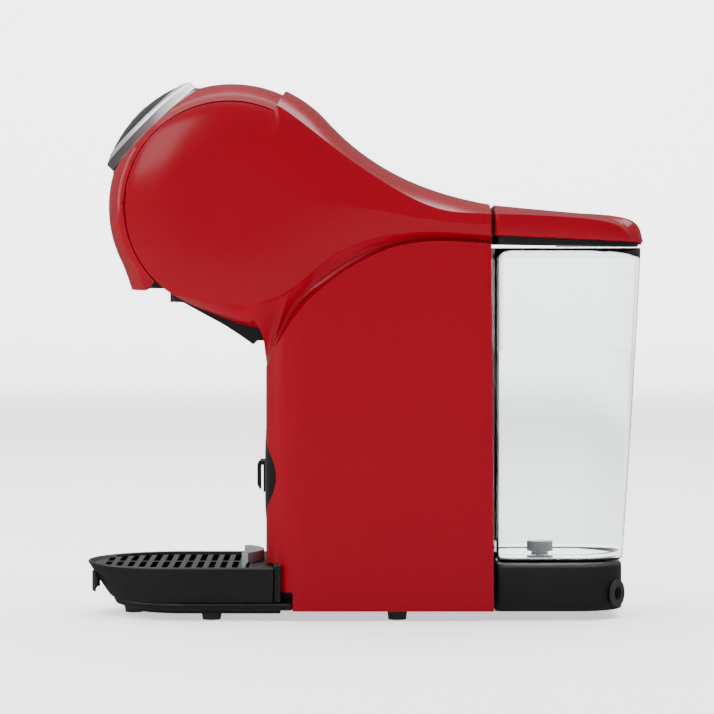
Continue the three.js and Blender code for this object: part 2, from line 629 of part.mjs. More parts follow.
// ---------------------------------------------------------------- brew group
function brewGroup(parent) {
  const inner = drawerHalf + runningGap;
  const outer = Math.max(frameHalf - 1, inner + frameWall); // where the pivot pins start
  const [rear, front] = [columnFrontX - 3, podX - 18];
  const [low, high] = [158.6, 236];
  const side = (sign) => {
    const [y0, y1] = sign < 0 ? [-inner - frameWall, -inner] : [inner, inner + frameWall];
    const [p0, p1] = sign < 0 ? [-outer, -inner] : [inner, outer];
    return join(
      acrossY(new THREE.Shape([v2(rear, low), v2(rear, high), v2(pivotX - 12, high),
        v2(front, 212), v2(front, 176), v2(-84, 163), v2(-76, low)]), y0, y1),
      rod(v3(pivotX, p0, pivotZ), v3(pivotX, p1, pivotZ), 7, 28),
      block(front, rear, Math.min(sign * (inner + 0.2), sign * (inner - 3)),
        Math.max(sign * (inner + 0.2), sign * (inner - 3)), railZ - 2, railZ),
    );
  };
  const backHalf = inner + frameWall;
  const back = block(rear - frameWall, rear, -backHalf, backHalf, 176, high);
  const frame = join(side(-1), side(1), back);
  node("brew_frame", frame, finish.aluminium(), parent);
  for (const [name, sign] of [["pivot_pin_left", -1], ["pivot_pin_right", 1]]) {
    const from = v3(pivotX, sign * outer, pivotZ);
    const to = v3(pivotX, sign * (linkOuter + 0.3), pivotZ);
    node(name, rod(from, to, pinRadius, 28), finish.steel(), parent);
  }

  const cupOuter = (r) => r + 1.7;
  const cupMouth = 22;
  const floorRadius = 15.5;
  const floorZ = podSeatZ - podDepth + 2;
  const rearEnd = podX + podRadius + 4;
  const frontEnd = podX - podRadius - 1.6;
  const tray = join(
    solid(upward(rectangle(frontEnd, rearEnd, -drawerHalf, drawerHalf, 6), podSeatZ - 3.2, podSeatZ)),
    turned([[0, floorZ - 2], [cupOuter(floorRadius), floorZ - 2],
      [cupOuter(cupMouth), podSeatZ - 3], [0, podSeatZ - 3]], 40).translate([podX, 0, 0]),
    rod(v3(podX, 0, 161.8), v3(podX, 0, floorZ), spoutRadius, 28),
    ...[-1, 1].map((sign) => block(frontEnd, rearEnd, sign < 0 ? -drawerHalf : drawerHalf - 5,
      sign < 0 ? 5 - drawerHalf : drawerHalf, railZ + 0.4, podSeatZ - 3)),
    acrossY(new THREE.Shape([v2(frontEnd + 4, podSeatZ - 3.2), v2(frontEnd + 4, podSeatZ),
      v2(podX - 36, podSeatZ), v2(podX - 36, podSeatZ - 12), v2(podX - 33, podSeatZ - 12),
      v2(podX - 33, podSeatZ - 3.2)]), -drawerHalf + 4, drawerHalf - 4),
  );
  const cavity = join(
    turned([[0, floorZ], [floorRadius, floorZ], [cupMouth, podSeatZ - 1.4],
      [cupMouth, podSeatZ + 1], [0, podSeatZ + 1]], 40),
    rod(v3(0, 0, podSeatZ - 1.2), v3(0, 0, podSeatZ + 1), podRadius, 40),
  ).translate([podX, 0, 0]);
  const outlet = rod(v3(podX, 0, 150), v3(podX, 0, podSeatZ - 10), 3.6, 20);
  const skin = solid(visorRing(crown + 12, visorHalf, visorWall + 12.3, domeRadius));
  node("pod_holder", cut(tray, cavity, outlet, skin), finish.blackSatin(), parent);

  const plateZ = podSeatZ + 1.3;
  const injector = cut(
    join(
      solid(upward(rectangle(podX - 27, podX + 27, -drawerHalf, drawerHalf, 8), plateZ, plateZ + 3)),
      rod(v3(podX, 0, plateZ), v3(podX, 0, plateZ + 8), 9, 28),
      rod(v3(podX + 8, 0, plateZ + 5.5), v3(podX + 18, 0, plateZ + 5.5), 2.6, 16),
    ),
    rod(v3(podX, 0, plateZ - 2), v3(podX, 0, plateZ + 5), 1.6, 16),
  );
  node("injector_plate", injector, finish.aluminium(), parent);
  node("injector_needle", join(
    rod(v3(podX, 0, podSeatZ + 0.4), v3(podX, 0, podSeatZ + 2), 0.3, 12, 1.4),
    rod(v3(podX, 0, podSeatZ + 2), v3(podX, 0, plateZ + 4.8), 1.4, 12),
  ), finish.steel(), parent);
  const seal = turned([[20, podSeatZ + 0.3], [24.5, podSeatZ + 0.3], [25.5, plateZ],
    [19.5, plateZ], [20, podSeatZ + 0.3]], 40);
  node("injector_seal", seal.translate([podX, 0, 0]), finish.silicone(), parent);
}

// ---------------------------------------------------------------- drip tray
/** Plan of the drip tray, drawn smaller by a distance: a bowed front and straight sides. */
function trayPlan(smaller, rearX) {
  const shape = new THREE.Shape();
  const half = trayHalf - smaller;
  const reach = trayBowX - trayFrontX - smaller;
  shape.moveTo(rearX - smaller, -half);
  shape.lineTo(rearX - smaller, half);
  shape.absellipse(trayBowX, 0, reach, half, Math.PI / 2, Math.PI * 1.5);
  return shape;
}

/** Narrows a tray outline towards its floor, most of all at the front. */
function trayTaper(geometry) {
  const lean = (trayBottomFrontX - trayFrontX) / (trayRimZ - trayFloorZ);
  return reshape(geometry, (point) => {
    const down = (trayRimZ - point.z) * lean;
    const forward = THREE.MathUtils.clamp((trayRearX - point.x) / (trayRearX - trayFrontX), 0, 1);
    point.x += down * forward * forward;
    point.y *= 1 - (down * 0.12) / trayHalf;
  });
}

function dripTray(parent) {
  const rimBand = 5.6;
  const body = solid(trayTaper(upward(stepped(trayPlan(0, trayRearX), 24), trayFloorZ, trayRimZ)));
  const well = solid(trayTaper(upward(stepped(trayPlan(trayWall, wellRearX), 24), trayFloorZ + 2, trayRimZ)));
  const mouth = solid(upward(stepped(trayPlan(trayWall, wellRearX), 24), trayRimZ - 0.01, trayRimZ + 5));
  const rearRoom = [wellRearX + trayWall, trayRearX - trayWall];
  const hollow = block(...rearRoom, -trayHalf + 5, trayHalf - 5, 0, trayRimZ - 2.4);
  const ledgePlan = stepped(trayPlan(trayWall - 0.1, wellRearX + 0.1), 24);
  const ledge = cut(
    solid(trayTaper(upward(ledgePlan, trayRimZ - rimBand, trayRimZ - 3.4))),
    solid(upward(stepped(trayPlan(trayWall + 4, wellRearX), 24), trayRimZ - 10, trayRimZ)),
  );
  node("drip_tray", join(cut(body, well, mouth, hollow), ledge), finish.blackSatin(), parent);

  const grip = cut(
    solid(upward(stepped(trayPlan(2.5, trayRearX), 24), 12, 21.5)),
    block(-139, far, -far, far, 0, far),
    block(-far, far, -far, -17, 0, far),
    block(-far, far, 17, far, 0, far),
  );
  const fingerRoom = block(-140, -130, -13.5, 13.5, 0, 19.6);
  const shapedGrip = cut(grip, body, body.translate([-gap, 0, 0]), fingerRoom);
  node("tray_grip", shapedGrip, finish.blackSatin(), parent);

  const top = trayRimZ - 3.1 + gridThickness;
  const slots = [];
  const pitch = 6;
  const slotWidth = 3.2;
  for (let x = trayFrontX + 12; x < wellRearX - pitch; x += pitch) {
    const reach = x < trayBowX ? Math.sqrt(1 - ((x - trayBowX) / (trayBowX - trayFrontX)) ** 2) : 1;
    const end = trayHalf * reach - 10;
    for (const [y0, y1] of [[-end, -2.5], [2.5, end]]) {
      slots.push(block(x - slotWidth / 2, x + slotWidth / 2, y0, y1, top - gridThickness - 1, top + 1));
    }
  }
  const plan = stepped(trayPlan(trayWall + runningGap, wellRearX), 24);
  const plate = solid(trayTaper(upward(plan, top - gridThickness, top)));
  node("drip_grid", cut(plate, ...slots), finish.blackGloss(), parent);

  const stop = new THREE.Shape();
  stop.absarc(collarX, 0, collarOuter, -collarSpread, collarSpread);
  stop.absarc(collarX, 0, collarInner, collarSpread, -collarSpread, true);
  const collar = cut(
    solid(upward(stop, top, collarTopZ, 16)),
    block(wellRearX - trayWall - 1.3, far, -far, far, 0, trayRimZ + 0.3),
  );
  node("tray_collar", collar, finish.smoke(), parent);
}

// ---------------------------------------------------------------- tank, lid and dock
/** Leans the back of the tank so that it is shorter at its floor. */
function tankLean(geometry) {
  return reshape(geometry, (point) => {
    const back = (point.x - tankFrontX) / tankLength;
    point.x -= (back * tankTaper * (tankRimZ - point.z)) / (tankRimZ - tankFloorZ);
  });
}

/** The tank's hinge ear on one side, with a stub pin that points outwards. */
function tankEar(side) {
  const [y0, y1] = side < 0 ? [-hingeY - 3, -hingeY] : [hingeY, hingeY + 3];
  const pinEnd = side * (hingeY + 5.6);
  return join(
    block(tankFrontX, hingeX + 1.2, y0, y1, tankRimZ - 5, tankRimZ - 1),
    block(hingeX - 1.2, hingeX + 1.2, y0, y1, tankRimZ - 5, hingeZ),
    rod(v3(hingeX, y0, hingeZ), v3(hingeX, y1, hingeZ), 1.2, 20),
    rod(v3(hingeX, side * hingeY, hingeZ), v3(hingeX, pinEnd, hingeZ), 1, 16),
  );
}

function tankAndDock(parent) {
  const floorTop = tankFloorZ + 2.4;
  const outsidePlan = rearPlan(tankFrontX, tankRearX, tankHalf, 8, lidCorner);
  const outside = tankLean(upward(stepped(outsidePlan), tankFloorZ, tankRimZ));
  const [insideFront, insideRear] = [tankFrontX + tankWall, tankRearX - tankWall];
  const insidePlan = rearPlan(insideFront, insideRear, tankHalf - tankWall, 6, lidCorner - tankWall);
  const inside = tankLean(upward(stepped(insidePlan), floorTop, tankRimZ));
  const socket = valveRadius + 1.8;
  const stemTop = tankFloorZ + 4;
  const filterTop = stemTop + valveTravel + 1.6;
  const tank = cut(
    join(
      cut(solid(outside), solid(inside)),
      rod(v3(valveX, 0, tankFloorZ), v3(valveX, 0, floorTop + 1), socket, 28),
      ...[-1, 1].map((side) => tankEar(side)),
    ),
    rod(v3(valveX, 0, tankFloorZ - 1), v3(valveX, 0, floorTop + 3), valveRadius, 24),
  );
  node("water_tank", tank, finish.clear(), parent);
  node("valve_poppet", join(
    rod(v3(valveX, 0, tankFloorZ + 1.4), v3(valveX, 0, tankFloorZ + 3.2), valveRadius - 0.5, 20),
    rod(v3(valveX, 0, tankFloorZ + 3.2), v3(valveX, 0, stemTop), 2, 16),
  ), finish.steel(), parent);
  const mesh = cut(
    rod(v3(valveX, 0, floorTop + 1.3), v3(valveX, 0, filterTop), socket, 28),
    rod(v3(valveX, 0, floorTop - 1), v3(valveX, 0, filterTop - 1.2), socket - 1.4, 24),
  );
  node("inlet_filter", mesh, finish.smoke(), parent);

  lid(parent);

  const dockPlan = rearPlan(dockFrontX, dockRearX, dockHalf, 4, dockCorner);
  const hollowPlan = rearPlan(dockFrontX + wall, dockRearX - wall, dockHalf - wall, 3, dockCorner - wall);
  const corner = v3(dockRearX - dockCorner, dockCorner - dockHalf, outletZ);
  const outward = v3(Math.sin(radians(outletTurn)), -Math.cos(radians(outletTurn)), 0);
  const at = (beyond) => corner.clone().addScaledVector(outward, dockCorner + beyond);
  const dock = cut(
    solid(upward(stepped(dockPlan), bodyLowZ - 0.3, dockTopZ)),
    solid(upward(stepped(hollowPlan), 0, dockTopZ - wall)),
    rod(v3(valveX, 0, 0), v3(valveX, 0, dockTopZ + 2), valveRadius - 1.4, 24),
    rod(at(-10), at(5), 5.4, 24),
  );
  node("rear_dock", dock, finish.blackSatin(), parent);
  const spigot = cut(
    join(
      rod(v3(valveX, 0, dockTopZ - 12), v3(valveX, 0, tankFloorZ + 0.9), valveRadius - 1.8, 24),
      rod(v3(valveX, 0, dockTopZ - wall - 2.5), v3(valveX, 0, dockTopZ - wall - 0.1), valveRadius + 2, 24),
    ),
    rod(v3(valveX, 0, 0), v3(valveX, 0, dockTopZ + 9), 2, 16),
  );
  node("dock_spigot", spigot, finish.blackSatin(), parent);
  const grommet = cut(
    join(rod(at(-6), at(0.6), 5, 24), rod(at(0.3), at(1.6), 7, 24)),
    rod(at(-12), at(6), 3.6, 20),
  );
  node("cable_grommet", cut(grommet, dock), finish.rubber(), parent);
}

function lid(parent) {
  const lowRear = tankRimZ + 2.4;
  const profile = new THREE.Shape();
  profile.moveTo(lidFrontX, armEndLowZ - 0.2);
  profile.lineTo(lidFrontX, armEndTopZ - 0.2);
  profile.lineTo(lidFrontX + 26, armEndTopZ - 3.2);
  profile.lineTo(lidFrontX + 57.5, armEndTopZ - 5.6);
  profile.quadraticCurveTo(lidFrontX + 76.5, armEndTopZ - 7, lidRearX, lowRear + 4.6);
  profile.lineTo(lidRearX - 0.5, lowRear);
  const half = armHalf - 1.4;
  const volume = common(
    crownedBlock(profile, half, crownDrop * 0.55, lidRearX - 30, 198),
    solid(upward(stepped(rearPlan(lidFrontX, lidRearX, half, 1.5, lidCorner + 3)), 0, far)),
  );
  const inner = new THREE.Shape([
    v2(lidFrontX + 1.8, 150),
    v2(lidFrontX + 1.8, armEndTopZ - 2.3),
    v2(lidFrontX + 26, armEndTopZ - 5.3),
    v2(lidFrontX + 57.5, armEndTopZ - 7.8),
    v2(lidRearX - 12, armEndTopZ - 10.5),
    v2(lidRearX - 2, lowRear + 4),
    v2(lidRearX - 2, 150),
  ]);
  const room = common(
    crownedBlock(inner, half - 1.8, crownDrop * 0.55, lidRearX - 30, 198),
    solid(upward(stepped(rearPlan(lidFrontX + 1.8, lidRearX - 2, half - 1.8, 1, lidCorner + 1)), 0, far)),
  );
  const span = (side, from, to) => (side < 0 ? [-to, -from] : [from, to]);
  const ears = [-1, 1].map((side) => common(
    volume,
    cut(
      block(hingeX - 2.4, hingeX + 2.4, ...span(side, hingeY + 3.4, hingeY + 6), hingeZ - 2.2, hingeZ + 10),
      rod(v3(hingeX, side * hingeY, hingeZ), v3(hingeX, side * (hingeY + 9), hingeZ), 1.3, 16),
    ),
  ));
  const earSlots = [-1, 1].map((side) =>
    block(lidFrontX - 1, lidFrontX + 3, ...span(side, hingeY - 0.6, hingeY + 3.6), 0, hingeZ));
  node("tank_lid", join(cut(volume, room, ...earSlots), ...ears), finish.redGloss(), parent);
  const cover = cut(volume, room);

  const skirtPlan = (inset) =>
    rearPlan(lidFrontX + 2 + inset, lidRearX - 3.4 - inset, half - 2.2 - inset, 6, lidCorner);
  const skirt = cut(
    solid(upward(stepped(skirtPlan(0)), tankRimZ + 1.2, tankRimZ + 4.6)),
    solid(upward(stepped(skirtPlan(3)), tankRimZ, tankRimZ + 9)),
    block(tankFrontX - 1, tankFrontX + 7, -hingeY - 5, hingeY + 5, 0, far),
  );
  node("lid_skirt", cut(skirt, cover), finish.blackSatin(), parent);
}

// ---------------------------------------------------------------- base, feet and inner works
function base(parent) {
  const half = lowerHalf - wall - gap;
  const bottom = footHeight;
  const under = join(
    block(sillX + wall + gap, dockFrontX - gap - 3, -half, half, bottom, bottom + 3),
    solid(trayTaper(upward(stepped(trayPlan(6, sillX - gap), 20), bottom - 1.6, trayFloorZ - gap))),
    block(sillX - 9, sillX + 5, -half + 6, half - 6, bottom, bottom + 3),
  );
  node("base_plate", under, finish.blackSatin(), parent);
  const spots = { foot_front: [-120, 0], foot_tray_left: [-78, -38], foot_tray_right: [-78, 38],
    foot_rear_left: [17, -38], foot_rear_right: [17, 38] };
  for (const [name, [x, y]] of Object.entries(spots)) {
    const top = x < sillX ? bottom - 1.6 : bottom;
    node(name, rod(v3(x, y, 0), v3(x, y, top), 4.6, 24, 5.2), finish.rubber(), parent);
  }
}

function innerWorks(parent) {
  const floorZ = footHeight + 3;
  const pumpZ = 44;
  const pumpRadius = 17;
  const pump = join(
    rod(v3(-22, 0, pumpZ), v3(24, 0, pumpZ), pumpRadius, 28),
    rod(v3(24, 0, pumpZ), v3(40, 0, pumpZ), 9, 20),
    rod(v3(-36, 0, pumpZ), v3(-22, 0, pumpZ), 5, 16),
  );
  node("pump", pump, finish.steel(), parent);
  for (const [name, x] of [["pump_mount_front", -14], ["pump_mount_rear", 14]]) {
    const saddle = block(x - 5, x + 5, -20, 20, floorZ, pumpZ);
    const pumpBore = rod(v3(-60, 0, pumpZ), v3(60, 0, pumpZ), pumpRadius + 0.02, 28);
    node(name, cut(saddle, pumpBore), finish.rubber(), parent);
  }
  const heaterZ = [92, 128];
  const heater = join(
    solid(upward(rectangle(-30, 30, -28, 28, 8), ...heaterZ)),
    rod(v3(-30, 16, 120), v3(-37, 16, 120), 4, 16),
    rod(v3(30, -16, 100), v3(38, -16, 100), 4, 16),
  );
  node("water_heater", heater, finish.aluminium(), parent);
  const stand = block(-24, 24, 30, 33, floorZ, 110);
  node("heater_bracket", join(stand, block(-24, 24, 28.02, 30.1, 96, 124)), finish.steel(), parent);
  const meterX = 53;
  node("flow_meter", join(
    rod(v3(meterX, 0, pumpZ - 7), v3(meterX, 0, pumpZ + 7), 7, 24),
    rod(v3(meterX - 9, 0, pumpZ), v3(meterX, 0, pumpZ), 3.2, 16),
    rod(v3(meterX, 0, floorZ + 0.02), v3(meterX, 0, pumpZ - 7), 4, 16),
  ), finish.blackSatin(), parent);
  node("control_board", block(-20, 50, -43, -41.2, 62, 150), finish.board(), parent);
  node("hose_pump_to_heater", hose([v3(-36.3, 0, pumpZ), v3(-41, 0, pumpZ),
    v3(-43.5, 4, 60), v3(-43.5, 10, 90),
    v3(-43, 15, 112), v3(-41, 16, 120), v3(-37.3, 16, 120)], 3), finish.silicone(), parent);
  node("hose_heater_to_head", hose([v3(38.3, -16, 100), v3(43, -16, 100), v3(47, -16, 112), v3(46, -12, 150),
    v3(24, -4, 190), v3(-16, 0, 208), v3(-45, 0, 210), v3(-52.6, 0, 210)], 3), finish.silicone(), parent);
  node("hose_meter_to_pump", hose([v3(40.3, 0, pumpZ), v3(42, 0, pumpZ), v3(meterX - 9.3, 0, pumpZ)], 2.6),
    finish.silicone(), parent);
}

casing(root);
undersideCover(root);
visor(root);
brewGroup(root);
dripTray(root);
tankAndDock(root);
base(root);
innerWorks(root);

export default root;
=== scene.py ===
"""Looks of the pod coffee machine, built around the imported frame. Shapes are worked out in millimetres."""
import json
import math

import bmesh
import bpy
import numpy as np
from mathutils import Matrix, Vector


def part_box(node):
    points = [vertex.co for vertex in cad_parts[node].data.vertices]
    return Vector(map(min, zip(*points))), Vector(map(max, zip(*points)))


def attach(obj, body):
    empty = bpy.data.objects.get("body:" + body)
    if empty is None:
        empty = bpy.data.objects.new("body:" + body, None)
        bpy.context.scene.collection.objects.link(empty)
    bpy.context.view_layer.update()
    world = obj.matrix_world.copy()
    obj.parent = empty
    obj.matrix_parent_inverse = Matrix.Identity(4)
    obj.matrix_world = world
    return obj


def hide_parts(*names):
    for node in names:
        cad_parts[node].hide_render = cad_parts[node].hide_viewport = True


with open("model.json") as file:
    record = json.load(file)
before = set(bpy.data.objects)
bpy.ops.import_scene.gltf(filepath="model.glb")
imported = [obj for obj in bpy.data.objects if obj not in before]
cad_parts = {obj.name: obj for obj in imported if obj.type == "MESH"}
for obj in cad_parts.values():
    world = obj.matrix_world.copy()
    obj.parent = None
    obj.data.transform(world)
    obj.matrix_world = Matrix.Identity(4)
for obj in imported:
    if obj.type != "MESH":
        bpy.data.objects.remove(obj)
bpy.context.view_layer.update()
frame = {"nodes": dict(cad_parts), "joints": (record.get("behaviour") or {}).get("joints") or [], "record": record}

# ---------------------------------------------------------------- sizes, in millimetres
joints = {joint["name"]: joint for joint in frame["joints"]}
PIVOT = np.array(joints["visor_lift"]["pos_m"]) * 1000  # the visor turns about this point
DOME_HALF = -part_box("side_shell_left")[0].y * 1000  # the head's greatest half width
CREASE_HALF = 50.2  # half width at the styling creases
REAR_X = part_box("top_cover")[1].x * 1000  # the casing ends here, at the lid
BODY_HALF = 49.8  # half width of the lower body
COLUMN_X = -50.3  # the column's front face
CORNER = 20.0  # radius of the column's front corners, in plan
VISOR_R = 64.0  # the visor's crown, from the pivot
CREASE_R = 56.2  # the visor's crease, from the pivot
SEAM_R = 53.2  # the seam between the visor and the casing, from the pivot
COVER_R = 66.6  # the fixed crown behind the visor, from the pivot
LIP_Z = PIVOT[2] - 42.6  # height of the visor's lip
FLARE = 3.4  # the lip stands out by this much
FLARE_DEG = 14  # over the last part of the visor, in degrees
NOTCH = 65.0  # degrees above the rear horizon, where the visor's tail goes under the cover
TAIL_DEG = 5  # the tail goes on under the cover by this much, in degrees
ARCH_HALF = 32.6  # half width of the pod drawer's front
ARCH_DROP = 5.6  # the drawer's front ends this far under the pivot
ARCH_EDGE = 33.4  # half width of the arch in the visor that the drawer's front fills
CHEEK_HALF = 48.4  # the visor is chamfered from here out to its seam
SOFT = 0.8  # how gently the flat round the dial meets the crown
FACET = 57.1  # the visor is flat round the dial, this far from the pivot
DIAL_DEG = 135  # the dial faces this way, in degrees above the rear horizon
RING_R = 30.7  # the dial's ring
CAP_TOP = 69.1  # top of the display dome, from the pivot
CAP_CURVE = 67.0  # radius of the dome's sphere
CASING_WALL = 1.2
CROWN_WALL = 1.8
VISOR_WALL = 2.2
LID_WALL = 1.6
TANK_WALL = 2.0
DOCK_WALL = 2.2

# ---------------------------------------------------------------- mesh helpers


def mesh_from(name, points, faces):
    """A mesh in metres from points in millimetres and faces given as rows of corner numbers."""
    mesh = bpy.data.meshes.new(name)
    mesh.from_pydata((points.reshape(-1, 3) * 0.001).tolist(), [], faces.tolist())
    mesh.update()
    return mesh


def grid_faces(nu, nv, loop_u=False):
    """Corner numbers of the quads between neighbours on an nu by nv grid, which may close on itself
    along u."""
    u = np.arange(nu if loop_u else nu - 1)
    uu, vv = np.meshgrid(u, np.arange(nv - 1), indexing="ij")
    u1, v1 = (uu + 1) % nu, vv + 1
    quads = np.stack([uu * nv + vv, u1 * nv + vv, u1 * nv + v1, uu * nv + v1], -1)
    return quads.reshape(-1, 4)


def tidy(mesh, outward=None, crease_deg=34.0):
    """Merges doubled points, drops flat faces and turns the faces outwards: away from a point, or from the
    inside where no point is given."""
    work = bmesh.new()
    work.from_mesh(mesh)
    bmesh.ops.remove_doubles(work, verts=work.verts, dist=1e-6)
    bmesh.ops.dissolve_degenerate(work, dist=1e-7, edges=work.edges)
    if outward is None:
        bmesh.ops.recalc_face_normals(work, faces=work.faces)
    else:
        centre = Vector(outward) * 0.001
        area = sum((f.normal.dot(f.calc_center_median() - centre)) * f.calc_area() for f in work.faces)
        if area < 0:
            bmesh.ops.reverse_faces(work, faces=work.faces)
    work.to_mesh(mesh)
    work.free()
    mesh.shade_smooth()
    mesh.set_sharp_from_angle(angle=math.radians(crease_deg))
    return mesh


def add_piece(name, mesh, material, body, stands_for=(), wall=0.0, rim_bevel=0.0):
    """Puts a mesh into the scene as a piece that rides on a body, with an inner wall if it is a shell."""
    obj = bpy.data.objects.new(name, mesh)
    bpy.context.scene.collection.objects.link(obj)
    obj.data.materials.append(material)
    if wall:
        shell = obj.modifiers.new("wall", "SOLIDIFY")
        shell.thickness = wall * 0.001
        shell.offset = -1
    if rim_bevel:
        bevel = obj.modifiers.new("rim", "BEVEL")
        bevel.width = rim_bevel * 0.001
        bevel.segments = 2
        bevel.limit_method = "ANGLE"
        bevel.angle_limit = math.radians(50)
    if stands_for:
        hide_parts(*stands_for)
    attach(obj, body)
    return obj


def settle(obj, crease_deg=34.0):
    """Applies an object's modifiers to its mesh."""
    bpy.context.view_layer.update()
    evaluated = obj.evaluated_get(bpy.context.evaluated_depsgraph_get())
    made = bpy.data.meshes.new_from_object(evaluated)
    obj.modifiers.clear()
    obj.data = made
    made.shade_smooth()
    made.set_sharp_from_angle(angle=math.radians(crease_deg))


def drill(obj, cutter_mesh, crease_deg=34.0):
    """Cuts one mesh from a piece, then drops the cutter."""
    cutter = bpy.data.objects.new("cutter", cutter_mesh)
    bpy.context.scene.collection.objects.link(cutter)
    cut = obj.modifiers.new("cut", "BOOLEAN")
    cut.operation = "DIFFERENCE"
    cut.solver = "EXACT"
    cut.object = cutter
    settle(obj, crease_deg)
    bpy.data.objects.remove(cutter)


# ---------------------------------------------------------------- curve helpers


def evenly(points, count):
    """The same polyline with a number of points at equal distances along it."""
    points = np.asarray(points, float)
    steps = np.linalg.norm(np.diff(points, axis=0), axis=1)
    along = np.concatenate([[0], np.cumsum(steps)])
    wanted = np.linspace(0, along[-1], count)
    return np.stack([np.interp(wanted, along, points[:, k]) for k in range(points.shape[1])], 1)


def flowing(points, count):
    """A smooth curve through control points: each span is a cubic whose end slopes come from its
    neighbours."""
    p = np.asarray(points, float)
    padded = np.vstack([2 * p[0] - p[1], p, 2 * p[-1] - p[-2]])
    a, b, c, d = padded[:-3], padded[1:-2], padded[2:-1], padded[3:]
    t = np.linspace(0, 1, 25)[:-1, None, None]
    spans = 0.5 * (2 * b + (c - a) * t + (2 * a - 5 * b + 4 * c - d) * t**2 + (3 * b - a - 3 * c + d) * t**3)
    path = np.vstack([spans.transpose(1, 0, 2).reshape(-1, p.shape[1]), p[-1:]])
    return evenly(path, count)


def arc(radius, start, end, count):
    """Points on a circle about the pivot in side view, between two angles in degrees above the rear
    horizon."""
    angle = np.radians(np.linspace(start, end, count))
    return np.stack([PIVOT[0] + radius * np.cos(angle), PIVOT[2] + radius * np.sin(angle)], 1)


def bezier(points, count):
    """A cubic curve from its four control points."""
    p = np.asarray(points, float)
    t = np.linspace(0, 1, count)[:, None]
    return (1 - t) ** 3 * p[0] + 3 * (1 - t) ** 2 * t * p[1] + 3 * (1 - t) * t**2 * p[2] + t**3 * p[3]


def lathe(profile, sides, ridges=0, ridge_depth=0.0):
    """Carries a profile of (radius, height) round the Z axis; ridges ripple its radius where a third column
    says 1."""
    profile = np.asarray(profile, float)
    turn = np.linspace(0, 2 * np.pi, sides, endpoint=False)
    amount = profile[:, 2] if profile.shape[1] > 2 else np.zeros(len(profile))
    ripple = np.abs(((turn * ridges / (2 * np.pi)) % 1) - 0.5) * 2 if ridges else np.zeros(sides)
    radius = profile[None, :, 0] - ridge_depth * ripple[:, None] * amount[None, :]
    height = np.broadcast_to(profile[None, :, 1], radius.shape)
    return np.stack([radius * np.cos(turn)[:, None], radius * np.sin(turn)[:, None], height], -1)


def on_dial(points):
    """Turns points about Z into points about the dial's axis, which leans forward by half a right angle."""
    s = math.sqrt(0.5)
    x = s * points[..., 0] - s * points[..., 2]
    z = s * points[..., 0] + s * points[..., 2]
    return np.stack([x + PIVOT[0], points[..., 1], z + PIVOT[2]], -1)


def rounded_plan(x0, x1, half, front_radius, rear_radius, count):
    """A loop in plan: a rectangle whose front and rear corners are quarter circles."""

    def corner(cx, cy, r, start):
        """A quarter circle from an angle in degrees."""
        angle = np.radians(np.linspace(start, start + 90, 28))
        return np.stack([cx + r * np.cos(angle), cy + r * np.sin(angle)], 1)

    loop = np.vstack([
        [[x0, 0]],
        corner(x0 + front_radius, front_radius - half, front_radius, 180),
        corner(x1 - rear_radius, rear_radius - half, rear_radius, 270),
        corner(x1 - rear_radius, half - rear_radius, rear_radius, 0),
        corner(x0 + front_radius, half - front_radius, front_radius, 90),
        [[x0, 0]],
    ])
    return evenly(loop, count + 1)[:-1]


# ---------------------------------------------------------------- materials


def linear(code):
    """An sRGB hex colour as linear light."""
    values = [int(code[i:i + 2], 16) / 255 for i in (1, 3, 5)]
    return tuple(v / 12.92 if v <= 0.04045 else ((v + 0.055) / 1.055) ** 2.4 for v in values) + (1.0,)


def add_node(tree, kind, settings=None, inputs=None):
    """Adds a shader node with its settings; an input is a plain value or another node's output."""
    made = tree.nodes.new(kind)
    for key, value in (settings or {}).items():
        setattr(made, key, value)
    for key, value in (inputs or {}).items():
        if isinstance(value, bpy.types.NodeSocket):
            tree.links.new(value, made.inputs[key])
        else:
            made.inputs[key].default_value = value
    return made


def surface(name, inputs):
    """A material with one Principled shader and its plain values; returns the material, its tree and the
    shader."""
    material = bpy.data.materials.new(name)
    material.use_nodes = True
    tree = material.node_tree
    shader = tree.nodes["Principled BSDF"]
    for key, value in inputs.items():
        shader.inputs[key].default_value = value
    return material, tree, shader


def grain(tree, shader, size_mm, height_mm, detail=2.0):
    """A fine uneven surface: noise with bumps of about size_mm across, as height_mm of relief."""
    place = add_node(tree, "ShaderNodeTexCoord")
    noise = add_node(tree, "ShaderNodeTexNoise", inputs={
        "Vector": place.outputs["Object"], "Scale": 1000 / size_mm, "Detail": detail, "Roughness": 0.5})
    bump = add_node(tree, "ShaderNodeBump", inputs={
        "Height": noise.outputs["Fac"], "Strength": 1.0, "Distance": height_mm * 0.001})
    tree.links.new(bump.outputs["Normal"], shader.inputs["Normal"])


def vary_roughness(tree, shader, low, high, size_mm):
    """Roughness that drifts a little over the surface, as handling and the mould leave it."""
    place = add_node(tree, "ShaderNodeTexCoord")
    noise = add_node(tree, "ShaderNodeTexNoise", inputs={
        "Vector": place.outputs["Object"], "Scale": 1000 / size_mm, "Detail": 3.0})
    spread = add_node(tree, "ShaderNodeMapRange", inputs={
        "Value": noise.outputs["Fac"], "From Min": 0.0, "From Max": 1.0, "To Min": low, "To Max": high})
    tree.links.new(spread.outputs["Result"], shader.inputs["Roughness"])


def red_abs():
    """Gloss ABS moulded in a polished tool: deep red, with a soft shine and a faint orange-peel waviness. The
    waviness is drawn flatter than it is, so that it doesn't sparkle."""
    material, tree, shader = surface("red_abs_high_gloss", {
        "Base Color": linear("#800014"), "IOR": 1.53, "Specular IOR Level": 0.28, "Roughness": 0.2})
    grain(tree, shader, 1.1, 0.0001, 1.0)
    return material


